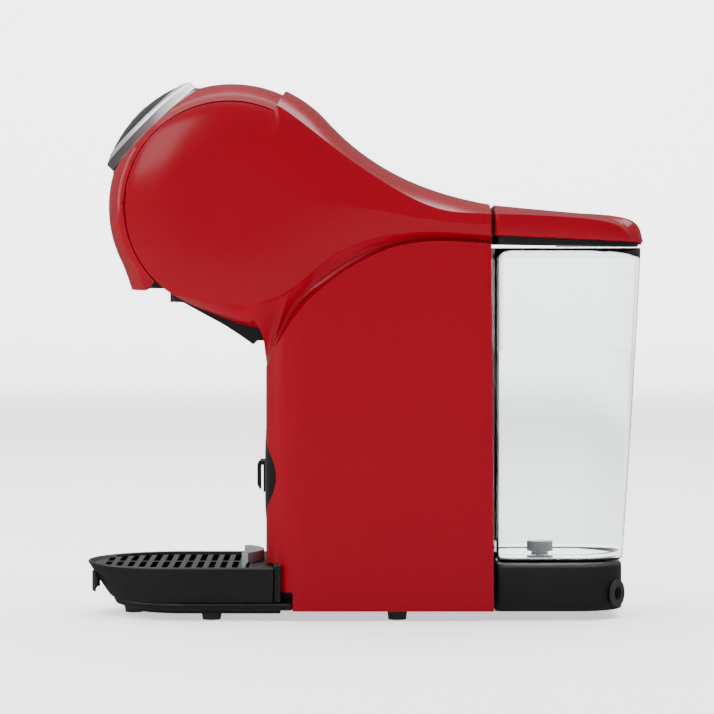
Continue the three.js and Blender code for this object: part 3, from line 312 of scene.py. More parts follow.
def black_pp():
    """Polypropylene from a spark-eroded tool: black, satin, with a fine even tooth."""
    material, tree, shader = surface("black_pp_spark_eroded", {"Base Color": linear("#141416"), "IOR": 1.49})
    grain(tree, shader, 0.7, 0.018, 2.0)
    vary_roughness(tree, shader, 0.38, 0.48, 30)
    return material


def black_pmma():
    """Acrylic from a polished tool: black as glass."""
    material, tree, shader = surface("black_pmma_polished", {
        "Base Color": linear("#0B0B0D"), "IOR": 1.49, "Coat Weight": 0.6, "Coat Roughness": 0.03})
    vary_roughness(tree, shader, 0.07, 0.11, 25)
    return material


def clear_san():
    """Styrene-acrylonitrile, clear as moulded: it lets light through, with grey edges where the wall turns
    away."""
    return surface("clear_san_tank", {
        "Base Color": linear("#F4F7F8"), "IOR": 1.45, "Transmission Weight": 1.0, "Roughness": 0.03})[0]


def still_water():
    """Fresh water at rest. Its IOR is low, because the wall that it touches bends the light already."""
    return surface("still_water", {
        "Base Color": linear("#FBFDFD"), "IOR": 1.15, "Transmission Weight": 1.0, "Roughness": 0.0})[0]


def turned_steel():
    """Stainless steel turned on a lathe: bright, with fine rings left by the tool."""
    material, tree, shader = surface("stainless_steel_turned", {
        "Base Color": linear("#DCDDDF"), "Metallic": 1.0, "Anisotropic": 0.5})
    vary_roughness(tree, shader, 0.3, 0.4, 12)
    return material


def plain(name, code, roughness, metallic, size_mm, height_mm, ior=1.5):
    """A plain finish for the inner works: its colour, its shine and its grain."""
    values = {"Base Color": linear(code), "Metallic": metallic}
    if not metallic:
        values["IOR"] = ior
    material, tree, shader = surface(name, values)
    grain(tree, shader, size_mm, height_mm)
    vary_roughness(tree, shader, roughness * 0.85, min(1.0, roughness * 1.15), 20)
    return material


RED = red_abs()
BLACK = black_pp()
PIANO = black_pmma()
CLEAR = clear_san()
WATER = still_water()
TURNED = turned_steel()
SMOKE = plain("grey_pc_translucent", "#A3A6A8", 0.25, 0.0, 3.0, 0.004, 1.58)
STEEL = plain("mild_steel_zinc_plated", "#B4B6B8", 0.32, 1.0, 0.6, 0.004)
ALLOY = plain("aluminium_die_cast", "#A7A9AB", 0.5, 1.0, 0.9, 0.02)
RUBBER = plain("epdm_rubber_moulded", "#232324", 0.75, 0.0, 0.8, 0.015, 1.52)
SILICONE = plain("silicone_extruded", "#D9D6CC", 0.4, 0.0, 2.0, 0.005, 1.42)
BOARD = plain("fr4_solder_masked", "#12502A", 0.35, 0.0, 1.5, 0.006, 1.55)

FINISHES = {
    "casing_red": RED, "trim_black": BLACK, "gloss_black": PIANO, "tank_clear": CLEAR, "smoke_grey": SMOKE,
    "ring_metal": TURNED, "steel_parts": STEEL, "alloy_parts": ALLOY, "foot_rubber": RUBBER,
    "silicone": SILICONE, "circuit_board": BOARD,
}
for row in frame["record"]["subparts"]:
    data = frame["nodes"][row["node"]].data
    data.materials.clear()
    data.materials.append(FINISHES[row["material_slot"]])

# ---------------------------------------------------------------- casing: the lines it is drawn from
ARM_STEPS = 70
HEAD_STEPS = 110
arm_crease_top = flowing([(REAR_X, 207.3), (51.3, 207.9), (41.6, 209.0), (31.1, 212.2), (19.7, 217.7),
                          (6.9, 225.4), (-6.9, 234.7), (-20.7, 245.2)], ARM_STEPS)
head_crease_top = flowing([(-20.7, 245.2), (-32.0, 254.0), (-39.0, 259.2), (-44.2, 262.4)], 30)
seam_top = arc(SEAM_R, NOTCH, 180, 160)
arm_crease_low = flowing([(REAR_X, 196.2), (34.8, 198.2), (11.6, 196.3), (-4.0, 191.8), (-14.2, 186.9)],
                         ARM_STEPS)
head_crease_low = flowing([(-14.2, 186.9), (-23.0, 180.6), (-31.9, 173.0), (-44.0, 165.2), (-58.2, 161.3),
                           (-78.0, 162.0), (-97.3, 166.4)], 90)
seam_low = arc(SEAM_R, 237, 180, 60)
upper = np.vstack([arm_crease_top[:-1], evenly(np.vstack([head_crease_top, seam_top]), HEAD_STEPS)])
lower = np.vstack([arm_crease_low[:-1], evenly(np.vstack([head_crease_low, seam_low]), HEAD_STEPS)])
nape = arc(COVER_R, NOTCH, 42, 40)
top_line = np.vstack([nape[:-1], bezier([nape[-1], nape[-1] + (18.4, -20.4), (REAR_X - 39.4, 219.6),
                                         (REAR_X, 212.8)], 90)])
CREASE_ROWS = ARM_STEPS - 1 + int(HEAD_STEPS * 0.64)
CORNER_ROWS = 12
KEEL_ROWS = 34
ARCH_ROWS = CREASE_ROWS - CORNER_ROWS - KEEL_ROWS
chin_line = flowing([(COLUMN_X, 129.3), (-49.2, 134.0), (-48.6, 139.4), (-49.4, 143.6), (-52.4, 146.2),
                     (-60.5, 148.2), (-73.5, 153.4), (-88.6, 159.9), (-97.3, 165.2)], 120)
panel_arc = flowing([(REAR_X, 192.2), (34.9, 193.3), (11.6, 189.2), (-9.3, 178.3), (-25.4, 165.8),
                     (-32.5, 158.6), (-38.6, 150.4), (-42.6, 143.3), (-46.7, 136.0), (-48.9, 130.1)], 120)


def body_half_at(x):
    """Half width of the lower body: straight sides, with quarter-round front corners."""
    behind = np.clip(COLUMN_X + CORNER - x, 0, CORNER)
    return BODY_HALF - CORNER + np.sqrt(CORNER**2 - behind**2)


def ease(share):
    """A share from 0 to 1 with level ends: three times its square less twice its cube."""
    return share * share * (3 - 2 * share)


def casing_side(side):
    """One skin per side. Columns run from the upper line to the lower line, then on to the far line: the flat
    panel's arched edge behind, and the head's middle line in front. Between the first two lines the skin
    stands out by a share that rises from the rim. Past the lower line it dips by a half sine behind, and in
    front it turns under as a power of its width."""
    rise_width, least_bulge, dip = 34, 3.4, 3.4
    rows = len(lower)
    share = 0.5 - 0.5 * np.cos(np.linspace(0, np.pi, 72))
    flat = upper[:, None, :] + (lower - upper)[:, None, :] * share[None, :, None]
    rim = np.vstack([upper, lower[::-1]])
    rim = evenly(rim[rim[:, 0] < REAR_X - 0.5], 500)
    away = np.sqrt(((flat[:, :, None, :] - rim[None, None]) ** 2).sum(-1)).min(-1)
    away[:, 0] = away[:, -1] = 0
    rise = (1 - (1 - np.clip(away / rise_width, 0, 1)) ** 2.4) ** 0.85
    forward = np.clip((20 - flat[..., 0]) / 80, 0, 1)
    bulge = least_bulge + (DOME_HALF - CREASE_HALF - least_bulge) * ease(forward)
    face = np.stack([flat[..., 0], CREASE_HALF + bulge * rise, flat[..., 1]], -1)

    arch = np.column_stack([panel_arc[:, 0], body_half_at(panel_arc[:, 0]), panel_arc[:, 1]])
    corner = np.array([arch[-1], (COLUMN_X + 0.3, 31.0, 129.6), (COLUMN_X, 22.0, 129.4),
                       (COLUMN_X, 10.0, 129.3), (COLUMN_X, 0, 129.3)])
    keel = np.column_stack([chin_line[:, 0], np.zeros(len(chin_line)), chin_line[:, 1]])
    far = np.vstack([evenly(arch, ARCH_ROWS), evenly(corner, CORNER_ROWS + 1)[1:],
                     evenly(keel, KEEL_ROWS + 1)[1:]])
    edge = np.column_stack([lower[:, 0], np.full(rows, CREASE_HALF), lower[:, 1]])
    spread = np.vstack([far, edge[len(far):]])
    v = np.linspace(0, 1, 40)[None, 1:, None]
    behind = edge[:, None] * (1 - v) + spread[:, None] * v
    behind[..., 1] -= dip * np.sin(np.pi * v[..., 0]) ** 0.9
    w = np.cos(np.pi / 2 * v)
    under = edge[:, None] + (spread - edge)[:, None] * (1 - w**3.0)
    under[..., 1] = (edge[:, None, 1] * w[..., 0]) + spread[:, None, 1] * (1 - w[..., 0])
    blend = ease(np.clip((np.arange(rows) - (ARCH_ROWS - 8)) / (CORNER_ROWS + 12), 0, 1)[:, None, None])
    skirt = behind * (1 - blend) + under * blend
    skirt[len(far):] = edge[len(far):, None]
    return np.concatenate([face, skirt], 1) * (1, side, 1)


def crown():
    """The swept top from the visor to the lid: highest in the middle, falling to the crease on each side."""
    count = 150
    crease = evenly(np.vstack([head_crease_top[::-1], arm_crease_top[::-1][1:]]), count)
    middle = evenly(top_line, count)
    w = np.sin(np.linspace(-np.pi / 2, np.pi / 2, 81))
    fall = 1 - np.abs(w) ** 2.5
    flat = crease[:, None, :] + (middle - crease)[:, None, :] * fall[None, :, None]
    y = np.broadcast_to(w * CREASE_HALF, flat.shape[:2])
    return np.stack([flat[..., 0], y, flat[..., 1]], -1)


def body_skin():
    """The lower body: a plan of two sides and a round-cornered front, carried up to the arched edge. Its
    front steps back twice at the foot, behind the tray, and its rear edge leans out by 1.5 mm at the foot."""
    turn = np.linspace(0, np.pi / 2, 24)
    quarter = np.stack([COLUMN_X + CORNER - CORNER * np.sin(turn),
                        BODY_HALF - CORNER + CORNER * np.cos(turn)], 1)
    half = np.vstack([evenly([[REAR_X, BODY_HALF], quarter[0]], 60)[:-1], quarter,
                      [[COLUMN_X, 15.0], [COLUMN_X, 0.0]]])
    plan = np.vstack([half, (half * (1, -1))[::-1][1:]])
    arch_x, arch_z = panel_arc[::-1, 0], panel_arc[::-1, 1]
    roof = np.interp(plan[:, 0], arch_x, arch_z)
    roof[plan[:, 0] < arch_x[0]] = 129.4
    levels = np.concatenate([[5.0, 14.6, 14.6, 28.8, 28.8], np.linspace(30, 120, 20),
                             np.linspace(122, 194, 40)])
    step = np.concatenate([[13.9, 13.9, 7.3, 7.3, 0.0], np.zeros(60)])
    z = np.minimum(levels[None, :], roof[:, None])
    rear = np.clip((plan[:, 0] - REAR_X + 10) / 10, 0, 1)[:, None] * (192 - z) / 187 * 1.5
    x = np.maximum(plan[:, 0][:, None] + rear, COLUMN_X + step[None, :])
    y = np.broadcast_to(plan[:, 1][:, None], z.shape)
    return np.stack([x, y, z], -1)


def patch(name, points, material, body, outward, wall=0.0, rim=0.0, stands_for=(), loop=False,
          sharp=34.0):
    """A grid of points as a finished piece."""
    mesh = mesh_from(name, points, grid_faces(points.shape[0], points.shape[1], loop_u=loop))
    tidy(mesh, outward, sharp)
    return add_piece(name, mesh, material, body, stands_for, wall, rim)


for side, word in ((-1, "left"), (1, "right")):
    patch(f"casing_{word}", casing_side(side), RED, "machine", (-20, 0, 195), wall=CASING_WALL,
          stands_for=(f"side_shell_{word}",), sharp=38)
patch("arm_crown", crown(), RED, "machine", (0, 0, 190), wall=CROWN_WALL, rim=0.3,
      stands_for=("top_cover",))
patch("lower_body", body_skin(), RED, "machine", (20, 0, 90))


def oval_lens():
    """The black oval on the column: circles drawn out to an oval, laid on the round-cornered front."""
    r = np.linspace(0, 1, 30)
    turn = np.linspace(0, 2 * np.pi, 120, endpoint=False)
    y = 43.5 * np.cos(turn)[:, None] * r[None, :]
    z = 73.0 + 27.2 * np.sin(turn)[:, None] * r[None, :]
    beyond = np.clip(np.abs(y) - (BODY_HALF - CORNER), 0, CORNER)
    x = COLUMN_X + CORNER - np.sqrt(CORNER**2 - beyond**2) - 0.6 * (1 - r[None, :] ** 12)
    return np.stack([x, y, z], -1)


def prism(name, outline, half, material, body, stands_for=(), rim=0.0):
    """A side view (x, z) carried straight across the machine, to the same distance on both sides."""
    outline = np.asarray(outline, float)
    count = len(outline)
    near = np.column_stack([outline[:, 0], np.full(count, -half), outline[:, 1]])
    points = np.vstack([near, near * (1, -1, 1)])
    ring = np.arange(count)
    mesh = bpy.data.meshes.new(name)
    walls = np.stack([ring, (ring + 1) % count, (ring + 1) % count + count, ring + count], 1).tolist()
    mesh.from_pydata((points * 0.001).tolist(), [], walls + [ring.tolist(), (ring + count)[::-1].tolist()])
    tidy(mesh)
    return add_piece(name, mesh, material, body, stands_for, rim_bevel=rim)


keel_low = flowing([(-99.4, 165.6), (-84.4, 157.2), (-72.8, 150.9), (-63.8, 145.2), (-57.0, 140.4)], 40)
keel_high = [(-56.4, 140.6), (-56.2, 142.4), (-51.4, 142.3), (-51.2, 147.5), (-56, 149.5), (-70, 155.0),
             (-84, 161.0), (-96, 167.5)]
prism("spout_guard", np.vstack([keel_low, keel_high]), 27.5, BLACK, "machine", ("head_underside_cover",),
      0.5)
patch("column_oval", oval_lens(), PIANO, "machine", (0, 0, 73), loop=True,
      stands_for=("column_oval_panel",))

# ---------------------------------------------------------------- visor


def visor_points(y, t):
    """The visor's skin. t runs from the tail under the cover (0) past the drawer's top edge (1) to the lip
    (2); y runs across. The radius falls from the crown to the crease as a power of the distance from the
    middle, and the last stretch flares out to the lip. Round the dial it is no further out than a plane,
    joined by the log-sum of the two distances."""
    w = np.clip(np.abs(y) / CREASE_HALF, 0, 1)
    radius = CREASE_R + (VISOR_R - CREASE_R) * (1 - w**2.5)
    tail = NOTCH - TAIL_DEG
    arch_angle = 180 + np.degrees(np.arcsin(ARCH_DROP / radius))
    end_angle = 180 + np.degrees(np.arcsin((PIVOT[2] - LIP_Z) / (radius + FLARE)))
    angle = np.where(t <= 1, tail + (arch_angle - tail) * t, arch_angle + (end_angle - arch_angle) * (t - 1))
    grow = np.clip((angle - end_angle + FLARE_DEG) / FLARE_DEG, 0, 1)
    reach = radius + FLARE * grow**2
    beyond = FACET / np.maximum(np.cos(np.radians(angle - DIAL_DEG)), 0.5)
    reach = -SOFT * np.log(np.exp(-reach / SOFT) + np.exp(-beyond / SOFT))
    return np.stack([PIVOT[0] + reach * np.cos(np.radians(angle)), y,
                     PIVOT[2] + reach * np.sin(np.radians(angle))], -1)


def visor_half_columns(limit):
    """Distances from the middle for the visor's grid, closer together towards the crease."""
    return np.unique(np.concatenate([
        np.linspace(0, ARCH_HALF, 22), [ARCH_EDGE],
        ARCH_EDGE + (limit - ARCH_EDGE) * np.sin(np.linspace(0, np.pi / 2, 18))]))


def cheek(edge, side, share):
    """A row of points between the visor's edge and the seam, a share of the way in."""
    away = (edge - PIVOT) * (1, 0, 1)
    length = np.linalg.norm(away, axis=1, keepdims=True)
    inner = edge - away / length * (length - SEAM_R - 0.5)
    inner[:, 1] = side * (CREASE_HALF + 0.1)
    return (edge * (1 - share) + inner * share)[:, None]


def visor_mesh():
    """The visor without the arch that the drawer's front fills, with its cheeks turned in to the seam."""
    half = visor_half_columns(CHEEK_HALF)
    y = np.concatenate([-half[::-1], half[1:]])
    above = np.linspace(0, 1, 110)
    yy, tt = np.meshgrid(y, np.concatenate([above[:-1], np.linspace(1, 2, 42)]), indexing="xy")
    skin = visor_points(yy, tt)
    first, last = skin[:, 0], skin[:, -1]
    points = np.concatenate([cheek(first, -1, 1.0), cheek(first, -1, 0.5), skin, cheek(last, 1, 0.5),
                             cheek(last, 1, 1.0)], axis=1)
    faces = grid_faces(points.shape[0], points.shape[1])
    row, column = faces[:, 0] // points.shape[1], faces[:, 0] % points.shape[1]
    across = points[0, :, 1]
    inside = (across[column] > -ARCH_EDGE - 0.1) & (across[column + 1] < ARCH_EDGE + 0.1)
    return mesh_from("visor_skin", points, faces[~(inside & (row >= len(above) - 1))])


def drawer_mesh():
    """The drawer's front: the same skin as the visor, inside the arch, less a fine gap."""
    y = np.linspace(0.15 - ARCH_HALF, ARCH_HALF - 0.15, 61)
    yy, tt = np.meshgrid(y, np.linspace(1.005, 2, 42), indexing="xy")
    points = visor_points(yy, tt)
    return mesh_from("drawer_skin", points, grid_faces(points.shape[0], points.shape[1]))


HEAD_CORE = tuple(PIVOT)  # faces of the head point away from here
visor = add_piece("visor_skin", tidy(visor_mesh(), HEAD_CORE, 40), RED, "visor", ("visor_shell",),
                  wall=VISOR_WALL)
hole = lathe([(0, 30), (RING_R + 0.9, 30), (RING_R + 0.9, 90), (0, 90)], 192)
drill(visor, tidy(mesh_from("hole", on_dial(hole), grid_faces(192, 4, loop_u=True))), 40)
add_piece("drawer_skin", tidy(drawer_mesh(), HEAD_CORE, 40), RED, "pod_drawer", ("drawer_front",),
          wall=VISOR_WALL)

# ---------------------------------------------------------------- dial


def turned_piece(name, profile, material, body, stands_for, sides=192, ridges=0, depth=0.0,
                 sharp=30.0):
    """A lathe profile set on the dial's axis."""
    points = lathe(profile, sides, ridges, depth)
    mesh = mesh_from(name, on_dial(points), grid_faces(sides, len(profile), loop_u=True))
    tidy(mesh, None, sharp)
    return add_piece(name, mesh, material, body, stands_for)


def cap_at(radius):
    """Height of the display dome over a radius: a part of a large sphere."""
    return CAP_TOP - CAP_CURVE + math.sqrt(CAP_CURVE**2 - radius**2)


SEAT = FACET + 0.1  # the dial's pieces start here, just over the visor's flat
BORE_R = 25.4  # inner radius of the ring
GLASS_R = 25.1  # radius of the display
KEY_R = 8.2  # radius of the start key
GROOVE = 0.45  # depth of the ring's grooves
SUNK = 0.15  # the display's edges lie this far under its dome
ring_profile = [(BORE_R, SEAT, 0), (RING_R - 0.4, SEAT, 0), (RING_R, SEAT + 0.3, 0), (RING_R, SEAT + 0.5, 1)]
for groove in (1.2, 2.1, 3.0):
    ring_profile += [(RING_R, SEAT + groove, 1), (RING_R - GROOVE, SEAT + groove + 0.1, 0),
                     (RING_R - GROOVE, SEAT + groove + 0.3, 0), (RING_R, SEAT + groove + 0.4, 1)]
ring_profile += [(RING_R, SEAT + 4.3, 1), (RING_R - 0.1, SEAT + 4.6, 0), (RING_R - 0.5, SEAT + 4.9, 0),
                 (BORE_R + 0.5, SEAT + 7.0, 0), (BORE_R + 0.1, SEAT + 7.05, 0), (BORE_R - 0.1, SEAT + 6.8, 0),
                 (BORE_R, SEAT, 0)]
turned_piece("selector_band", ring_profile, TURNED, "selector", ("selector_ring",),
             sides=720, ridges=180, depth=0.22, sharp=25.0)

under = SEAT + 4
glass_profile = [(KEY_R + 0.4, under), (GLASS_R, under), (GLASS_R, cap_at(GLASS_R) - SUNK)]
glass_profile += [(x, cap_at(x)) for x in np.linspace(GLASS_R - 0.1, KEY_R + 0.6, 16)]
glass_profile += [(KEY_R + 0.4, cap_at(KEY_R + 0.4) - SUNK), (KEY_R + 0.4, under)]
turned_piece("display_glass", glass_profile, PIANO, "visor", ("display_dome",))

key_profile = [(0, SEAT + 3.4), (KEY_R, SEAT + 3.4), (KEY_R, cap_at(KEY_R) - 0.1)]
key_profile += [(x, cap_at(x)) for x in (8.0, 6.0, 4.0, 2.0, 0.0)]
turned_piece("start_cap", key_profile, PIANO, "start_key", ("start_button",), sides=96)

mark = cap_at(6)
mark_profile = [(5.6, mark - 0.1), (6.4, mark - 0.1), (6.4, mark + 0.06), (5.6, mark + 0.1),
                (5.6, mark - 0.1)]
turned_piece("start_mark", mark_profile, SMOKE, "start_key", (), sides=96)

# ---------------------------------------------------------------- lid, tank and dock
LID_X0, LID_X1 = (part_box("tank_lid")[k].x * 1000 for k in (0, 1))
LID_HALF = 51.2
lid_middle = flowing([(LID_X0, 212.4), (76.2, 211.4), (91.8, 209.9), (107.5, 208.5), (123.1, 207.2),
                      (130.9, 206.1), (137.5, 204.2), (141.5, 201.2), (143.6, 197.4), (LID_X1, 193.0)], 160)
lid_side = flowing([(LID_X0, 207.3), (89.2, 206.5), (109.5, 205.2), (122.2, 203.5), (129.8, 201.2),
                    (134.6, 198.0), (137.0, 194.6), (LID_X1, 193.2)], 160)


def middle_of(plan, front, rear):
    """For each point of a plan, the nearest point of its middle line between two places."""
    return np.stack([np.clip(plan[:, 0], front, rear), np.zeros(len(plan))], 1)


def level(loop, z):
    """A loop in plan as a ring at one height."""
    return np.column_stack([loop, np.full(len(loop), z)])


def lid_low(x):
    """Height of the lid's lower edge."""
    return 196.2 - 3.4 * (x - LID_X0) / (LID_X1 - LID_X0)


def lid_points():
    """Rings from the lower edge up the side to the crease, and in to a line along the middle. Over the crease
    the skin rises as a power of the way in, with a tighter turn at the back."""
    plan = rounded_plan(LID_X0, LID_X1, LID_HALF, 2.0, 30.0, 260)
    spine = middle_of(plan, LID_X0 + 2, LID_X1 - 34)
    away = plan - spine
    unit = away / np.maximum(np.linalg.norm(away, axis=1, keepdims=True), 1)
    crease = np.maximum(np.interp(plan[:, 0], lid_side[:, 0], lid_side[:, 1]), lid_low(plan[:, 0]) + 0.4)
    rings = []
    for inward, share in ((1.3, 0.0), (0.4, 0.05), (0.0, 0.2), (0.0, 0.6), (0.25, 0.9), (0.6, 1.0)):
        z = lid_low(plan[:, 0]) + (crease - lid_low(plan[:, 0])) * share
        rings.append(np.column_stack([plan - unit * inward, z]))
    back = np.clip((plan[:, 0] - 118) / 26, 0, 1)
    power = 2.4 + 40 * back**4
    for v in np.linspace(0.012, 1, 44) ** 1.3:
        spot = (plan - unit * 0.6) * (1 - v) + spine * v
        top = np.interp(spot[:, 0], lid_middle[:, 0], lid_middle[:, 1])
        rings.append(np.column_stack([spot, crease + np.maximum(top - crease, 0) * (1 - (1 - v) ** power)]))
    return np.stack(rings, 1)


patch("lid_skin", lid_points(), RED, "lid", (100, 0, 180), wall=LID_WALL, loop=True,
      stands_for=("tank_lid",), sharp=28)


def skirt_rings():
    """The black band under the lid: rings from the lid's underside down to just over the tank's rim."""
    plan = rounded_plan(LID_X0 + 1.6, LID_X1 - 3.0, LID_HALF - 2.6, 3.0, 28.0, 200)
    high = lid_low(plan[:, 0]) + 2.0
    low = 191.7 - 1.3 * (plan[:, 0] - LID_X0) / (LID_X1 - LID_X0)
    middle = np.array([100.0, 0.0])
    rings = [np.column_stack([plan, high]), np.column_stack([plan, low + 0.5])]
    for inward in (0.012, 0.08, 1.0):
        rings.append(np.column_stack([plan * (1 - inward) + middle * inward, low]))
    return np.stack(rings, 1)


patch("lid_band", skirt_rings(), BLACK, "lid", (100, 0, 200), loop=True,
      stands_for=("lid_skirt",))

TANK_X0, TANK_X1 = (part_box("water_tank")[k].x * 1000 for k in (0, 1))
TANK_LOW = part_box("water_tank")[0].z * 1000
TANK_RIM = 190.0
TANK_HALF = 45.4
TANK_LEAN = 9.1  # the tank's back leans in by this much at the foot
WATER_LINE = 137.5


def tank_rings(inward, low_z, high_z, closed_top):
    """A cup whose back leans: rings from the middle of the floor to its edge, then up the wall."""
    plan = rounded_plan(TANK_X0 + inward, TANK_X1 - inward, TANK_HALF - inward, 8.0 - inward, 28.0 - inward,
                        200)
    spine = middle_of(plan, TANK_X0 + 30, TANK_X1 - 34)
    rings = []

    def ring(share, z):
        """Adds the plan at a share of its size, drawn forward where the back leans in."""
        spot = spine + (plan - spine) * share
        back = (spot[:, 0] - TANK_X0) / (TANK_X1 - TANK_X0)
        x = spot[:, 0] - back * TANK_LEAN * ((TANK_RIM - z) / (TANK_RIM - TANK_LOW)) ** 1.15
        rings.append(level(np.column_stack([x, spot[:, 1]]), z))

    for share in np.linspace(0, 0.93, 8):
        ring(share, low_z)
    for angle in np.linspace(15, 90, 6):
        ring(0.93 + 0.07 * math.sin(math.radians(angle)), low_z + 3 * (1 - math.cos(math.radians(angle))))
    for z in np.linspace(low_z + 8, high_z, 28):
        ring(1.0, z)
    if closed_top:
        for share in np.linspace(0.99, 0, 9):
            ring(share, high_z)
    return np.stack(rings, 1)


patch("tank_shell", tank_rings(0.0, TANK_LOW, TANK_RIM, False), CLEAR, "tank", (100, 0, 110), wall=TANK_WALL,
      loop=True, stands_for=("water_tank",), sharp=40)
patch("tank_water", tank_rings(TANK_WALL + 0.25, TANK_LOW + TANK_WALL + 0.3, WATER_LINE, True), WATER, "tank",
      (100, 0, 90), loop=True, sharp=40)

DOCK_X0, DOCK_X1 = (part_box("rear_dock")[k].x * 1000 for k in (0, 1))


DOCK_TOP = 28.5


def dock_rings():
    """The dock: rings up the side with a small round at the top edge, then in over the deck."""
    plan = rounded_plan(DOCK_X0, DOCK_X1, 46.0, 4.0, 25.0, 200)
    spine = middle_of(plan, DOCK_X0 + 20, DOCK_X1 - 30)
    away = plan - spine
    length = np.linalg.norm(away, axis=1, keepdims=True)
    steps = ((0.4, 4.7), (0.0, 5.2), (0.0, 26.6), (0.2, 27.6), (0.8, 28.3), (1.8, DOCK_TOP), (8.0, DOCK_TOP))
    rings = [level(plan - away / length * inward, z) for inward, z in steps]
    rings += [level(plan * (1 - v) + spine * v, DOCK_TOP) for v in (0.4, 0.7, 1.0)]
    return np.stack(rings, 1)


dock = patch("dock_skin", dock_rings(), BLACK, "machine", (100, 0, 15), wall=DOCK_WALL,
             loop=True, stands_for=("rear_dock",), sharp=40)
# the outlet: a bore through the dock's rear corner, turned 57 degrees from the side towards the back
outlet = np.array([DOCK_X1 - 25, 25 - 46, 13.0])
outlet_way = np.array([math.sin(math.radians(57)), -math.cos(math.radians(57)), 0.0])
outlet_across = np.array([-outlet_way[1], outlet_way[0], 0.0])
bore = lathe([(0, 12), (5.2, 12), (5.2, 40), (0, 40)], 64)
bore_points = outlet + bore @ np.array([outlet_across, (0, 0, 1.0), outlet_way])
drill(dock, tidy(mesh_from("bore", bore_points, grid_faces(64, 4, loop_u=True))), 40)

# ---------------------------------------------------------------- drip tray
TRAY_X0, TRAY_X1 = (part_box("drip_tray")[k].x * 1000 for k in (0, 1))
TRAY_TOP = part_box("drip_tray")[1].z * 1000
TRAY_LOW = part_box("drip_tray")[0].z * 1000


TRAY_BOW_X = -95.0  # the tray's front is half an ellipse about this place
TRAY_HALF = 51.0


def bowed_plan(bow_x, reach, half, rear, count, arc_count):
    """A loop in plan: half an ellipse in front, and two straight sides back to a flat rear edge."""
    turn = np.linspace(np.pi / 2, 1.5 * np.pi, arc_count)
    bow = np.stack([bow_x + reach * np.cos(turn), half * np.sin(turn)], 1)
    return evenly(np.vstack([[[rear, 0]], [[rear, half]], bow, [[rear, -half]], [[rear, 0]]]), count + 1)[:-1]


def tray_rings():
    """Rings of a bowed plan: up the leaning wall, over a round rim, down inside and in to the middle of the
    floor. Each ring is given by how far in it lies, its rear edge, its height and its share of full size."""
    centre = np.array([TRAY_BOW_X, 0.0])
    steps = [(0.0, TRAY_X1, TRAY_LOW, 0.0), (1.2, TRAY_X1, TRAY_LOW, 1.0),
             (0.3, TRAY_X1, TRAY_LOW + 0.8, 1.0)]
    steps += [(0.0, TRAY_X1, z, 1.0) for z in np.linspace(TRAY_LOW + 3, TRAY_TOP - 3.2, 8)]
    steps += [(0.0, TRAY_X1, TRAY_TOP - 0.8, 1.0), (0.4, TRAY_X1, TRAY_TOP - 0.2, 1.0),
              (0.9, TRAY_X1 - 0.9, TRAY_TOP, 1.0), (1.8, -57.4, TRAY_TOP, 1.0),
              (2.2, -58.0, TRAY_TOP - 0.4, 1.0), (2.3, -58.0, TRAY_TOP - 3.2, 1.0),
              (5.5, -60.0, TRAY_TOP - 3.4, 1.0), (6.0, -60.4, TRAY_LOW + 4, 1.0),
              (8.0, -62.0, TRAY_LOW + 2.2, 1.0), (8.0, -62.0, TRAY_LOW + 2.2, 0.0)]
    rings = []
    for inward, rear, z, share in steps:
        down = (TRAY_TOP - z) / (TRAY_TOP - TRAY_LOW)
        loop = bowed_plan(TRAY_BOW_X, TRAY_BOW_X - TRAY_X0 - inward, TRAY_HALF - inward - 1.2 * down, rear,
                          260, 140)
        forward = np.clip((TRAY_X1 - loop[:, 0]) / (TRAY_X1 - TRAY_X0), 0, 1)
        leaning = np.column_stack([loop[:, 0] + 12.0 * down * forward**2, loop[:, 1]])
        rings.append(level(centre + (leaning - centre) * share, z))
    return np.stack(rings, 1)


patch("tray_skin", tray_rings(), BLACK, "tray", None, loop=True, stands_for=("drip_tray",),
      sharp=30)
prism("tray_backstop", [(-45.9, 9.6), (-42.4, 9.6), (-42.4, 28.6), (-45.9, 28.6)], 48.6, BLACK, "machine", (),
      0.4)


def plinth_rings():
    """The low plinth under the tray: the tray's plan drawn in, with a rounded top edge and a drawn-in
    foot."""
    centre = np.array([-85.0, 0.0])
    rings = []
    for inward, z, share in ((3.0, 5.2, 0.0), (3.0, 5.2, 1.0), (1.2, 5.8, 1.0), (0.0, 8.2, 1.0),
                             (0.2, 8.8, 1.0), (0.9, 9.1, 1.0), (0.9, 9.1, 0.0)):
        loop = bowed_plan(-90, 40.6 - inward, 49.4 - inward, -37, 240, 120)
        rings.append(level(centre + (loop - centre) * share, z))
    return np.stack(rings, 1)


patch("tray_plinth", plinth_rings(), BLACK, "machine", None, loop=True, sharp=30)

# ---------------------------------------------------------------- floor, light and camera
SWEEP_Y = 3.2  # the floor curves up this far behind the machine, in metres
SWEEP_R = 0.9
rise = np.linspace(0, np.pi / 2, 24)
curve = np.stack([SWEEP_Y + SWEEP_R * np.sin(rise), SWEEP_R - SWEEP_R * np.cos(rise)], 1)
sweep = np.vstack([[(-6.0, 0.0)], curve, [(SWEEP_Y + SWEEP_R, 5.0)]])
sheet = np.stack([np.column_stack([np.full(len(sweep), x), sweep]) for x in (-8.0, 8.0)])
floor_mesh = mesh_from("floor", sheet * 1000, grid_faces(2, len(sweep)))
floor_mesh.shade_smooth()
floor = bpy.data.objects.new("floor", floor_mesh)
bpy.context.scene.collection.objects.link(floor)
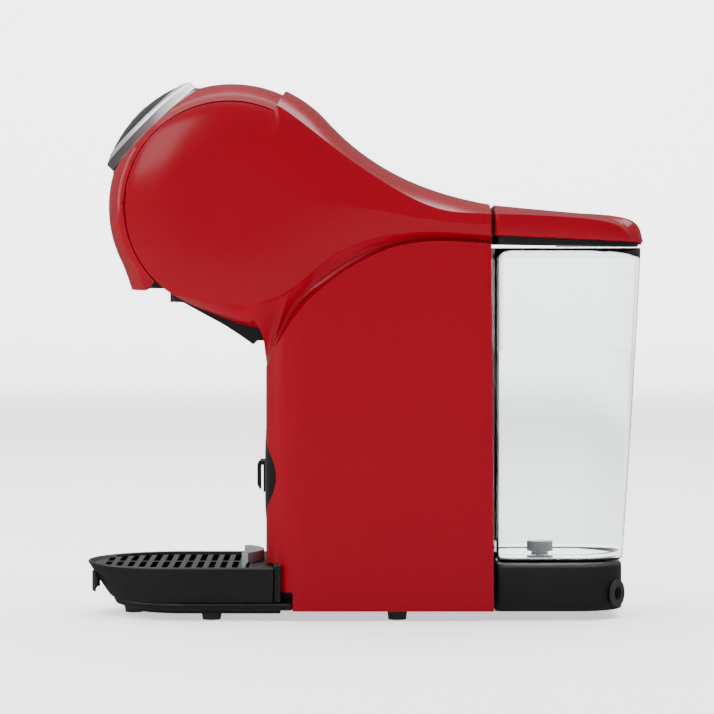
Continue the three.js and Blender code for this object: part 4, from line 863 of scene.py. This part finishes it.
# a matt paper sweep that glows a little, so that it stays pale behind the machine too
floor_material = surface("pale_floor", {
    "Base Color": linear("#F4F4F4"), "Roughness": 0.7, "Emission Color": linear("#FFFFFF"),
    "Emission Strength": 0.95})[0]
floor.data.materials.append(floor_material)
floor.visible_glossy = False

world = bpy.data.worlds.new("studio")
bpy.context.scene.world = world
world.use_nodes = True
sky = world.node_tree
way = add_node(sky, "ShaderNodeTexCoord")
parts = add_node(sky, "ShaderNodeSeparateXYZ", inputs={"Vector": way.outputs["Generated"]})
dim = add_node(sky, "ShaderNodeMapRange", inputs={
    "Value": parts.outputs["Z"], "From Min": -0.1, "From Max": 1.0, "To Min": 0.14, "To Max": 0.35})
sky.links.new(dim.outputs["Result"], sky.nodes["Background"].inputs["Strength"])
sky.nodes["Background"].inputs["Color"].default_value = linear("#FFFFFF")


def soft_box(name, place, aim, size, power, spread=180):
    """A rectangular soft light at a place, turned to a point; power in watts, spread in degrees."""
    light = bpy.data.lights.new(name, "AREA")
    light.shape = "RECTANGLE"
    light.size, light.size_y = size
    light.energy = power
    light.spread = math.radians(spread)
    obj = bpy.data.objects.new(name, light)
    obj.location = place
    obj.rotation_euler = (Vector(aim) - Vector(place)).to_track_quat("-Z", "Y").to_euler()
    bpy.context.scene.collection.objects.link(obj)


centre = (0.0, 0.0, 0.15)
soft_box("over", (0.0, 0.2, 1.7), centre, (3.2, 2.6), 112)
soft_box("front_upper_left", (-1.0, -1.5, 1.0), (-0.05, 0, 0.2), (0.9, 0.8), 9)
soft_box("left", (-1.2, 0.0, 0.6), (-0.05, 0, 0.15), (0.9, 0.9), 8)
soft_box("backdrop", (0.0, 2.5, 3.0), (0.0, 4.1, 1.0), (5.0, 1.0), 140, 90)

camera_data = bpy.data.cameras.new("camera")
camera_data.lens = 178.5
camera_data.sensor_width = 36.0
camera_data.clip_end = 50
camera = bpy.data.objects.new("camera", camera_data)
camera.location = (-0.0036, -1.846, 0.1889)
camera.rotation_euler = (math.radians(90 - 1.73), 0, 0)
bpy.context.scene.collection.objects.link(camera)
bpy.context.scene.camera = camera
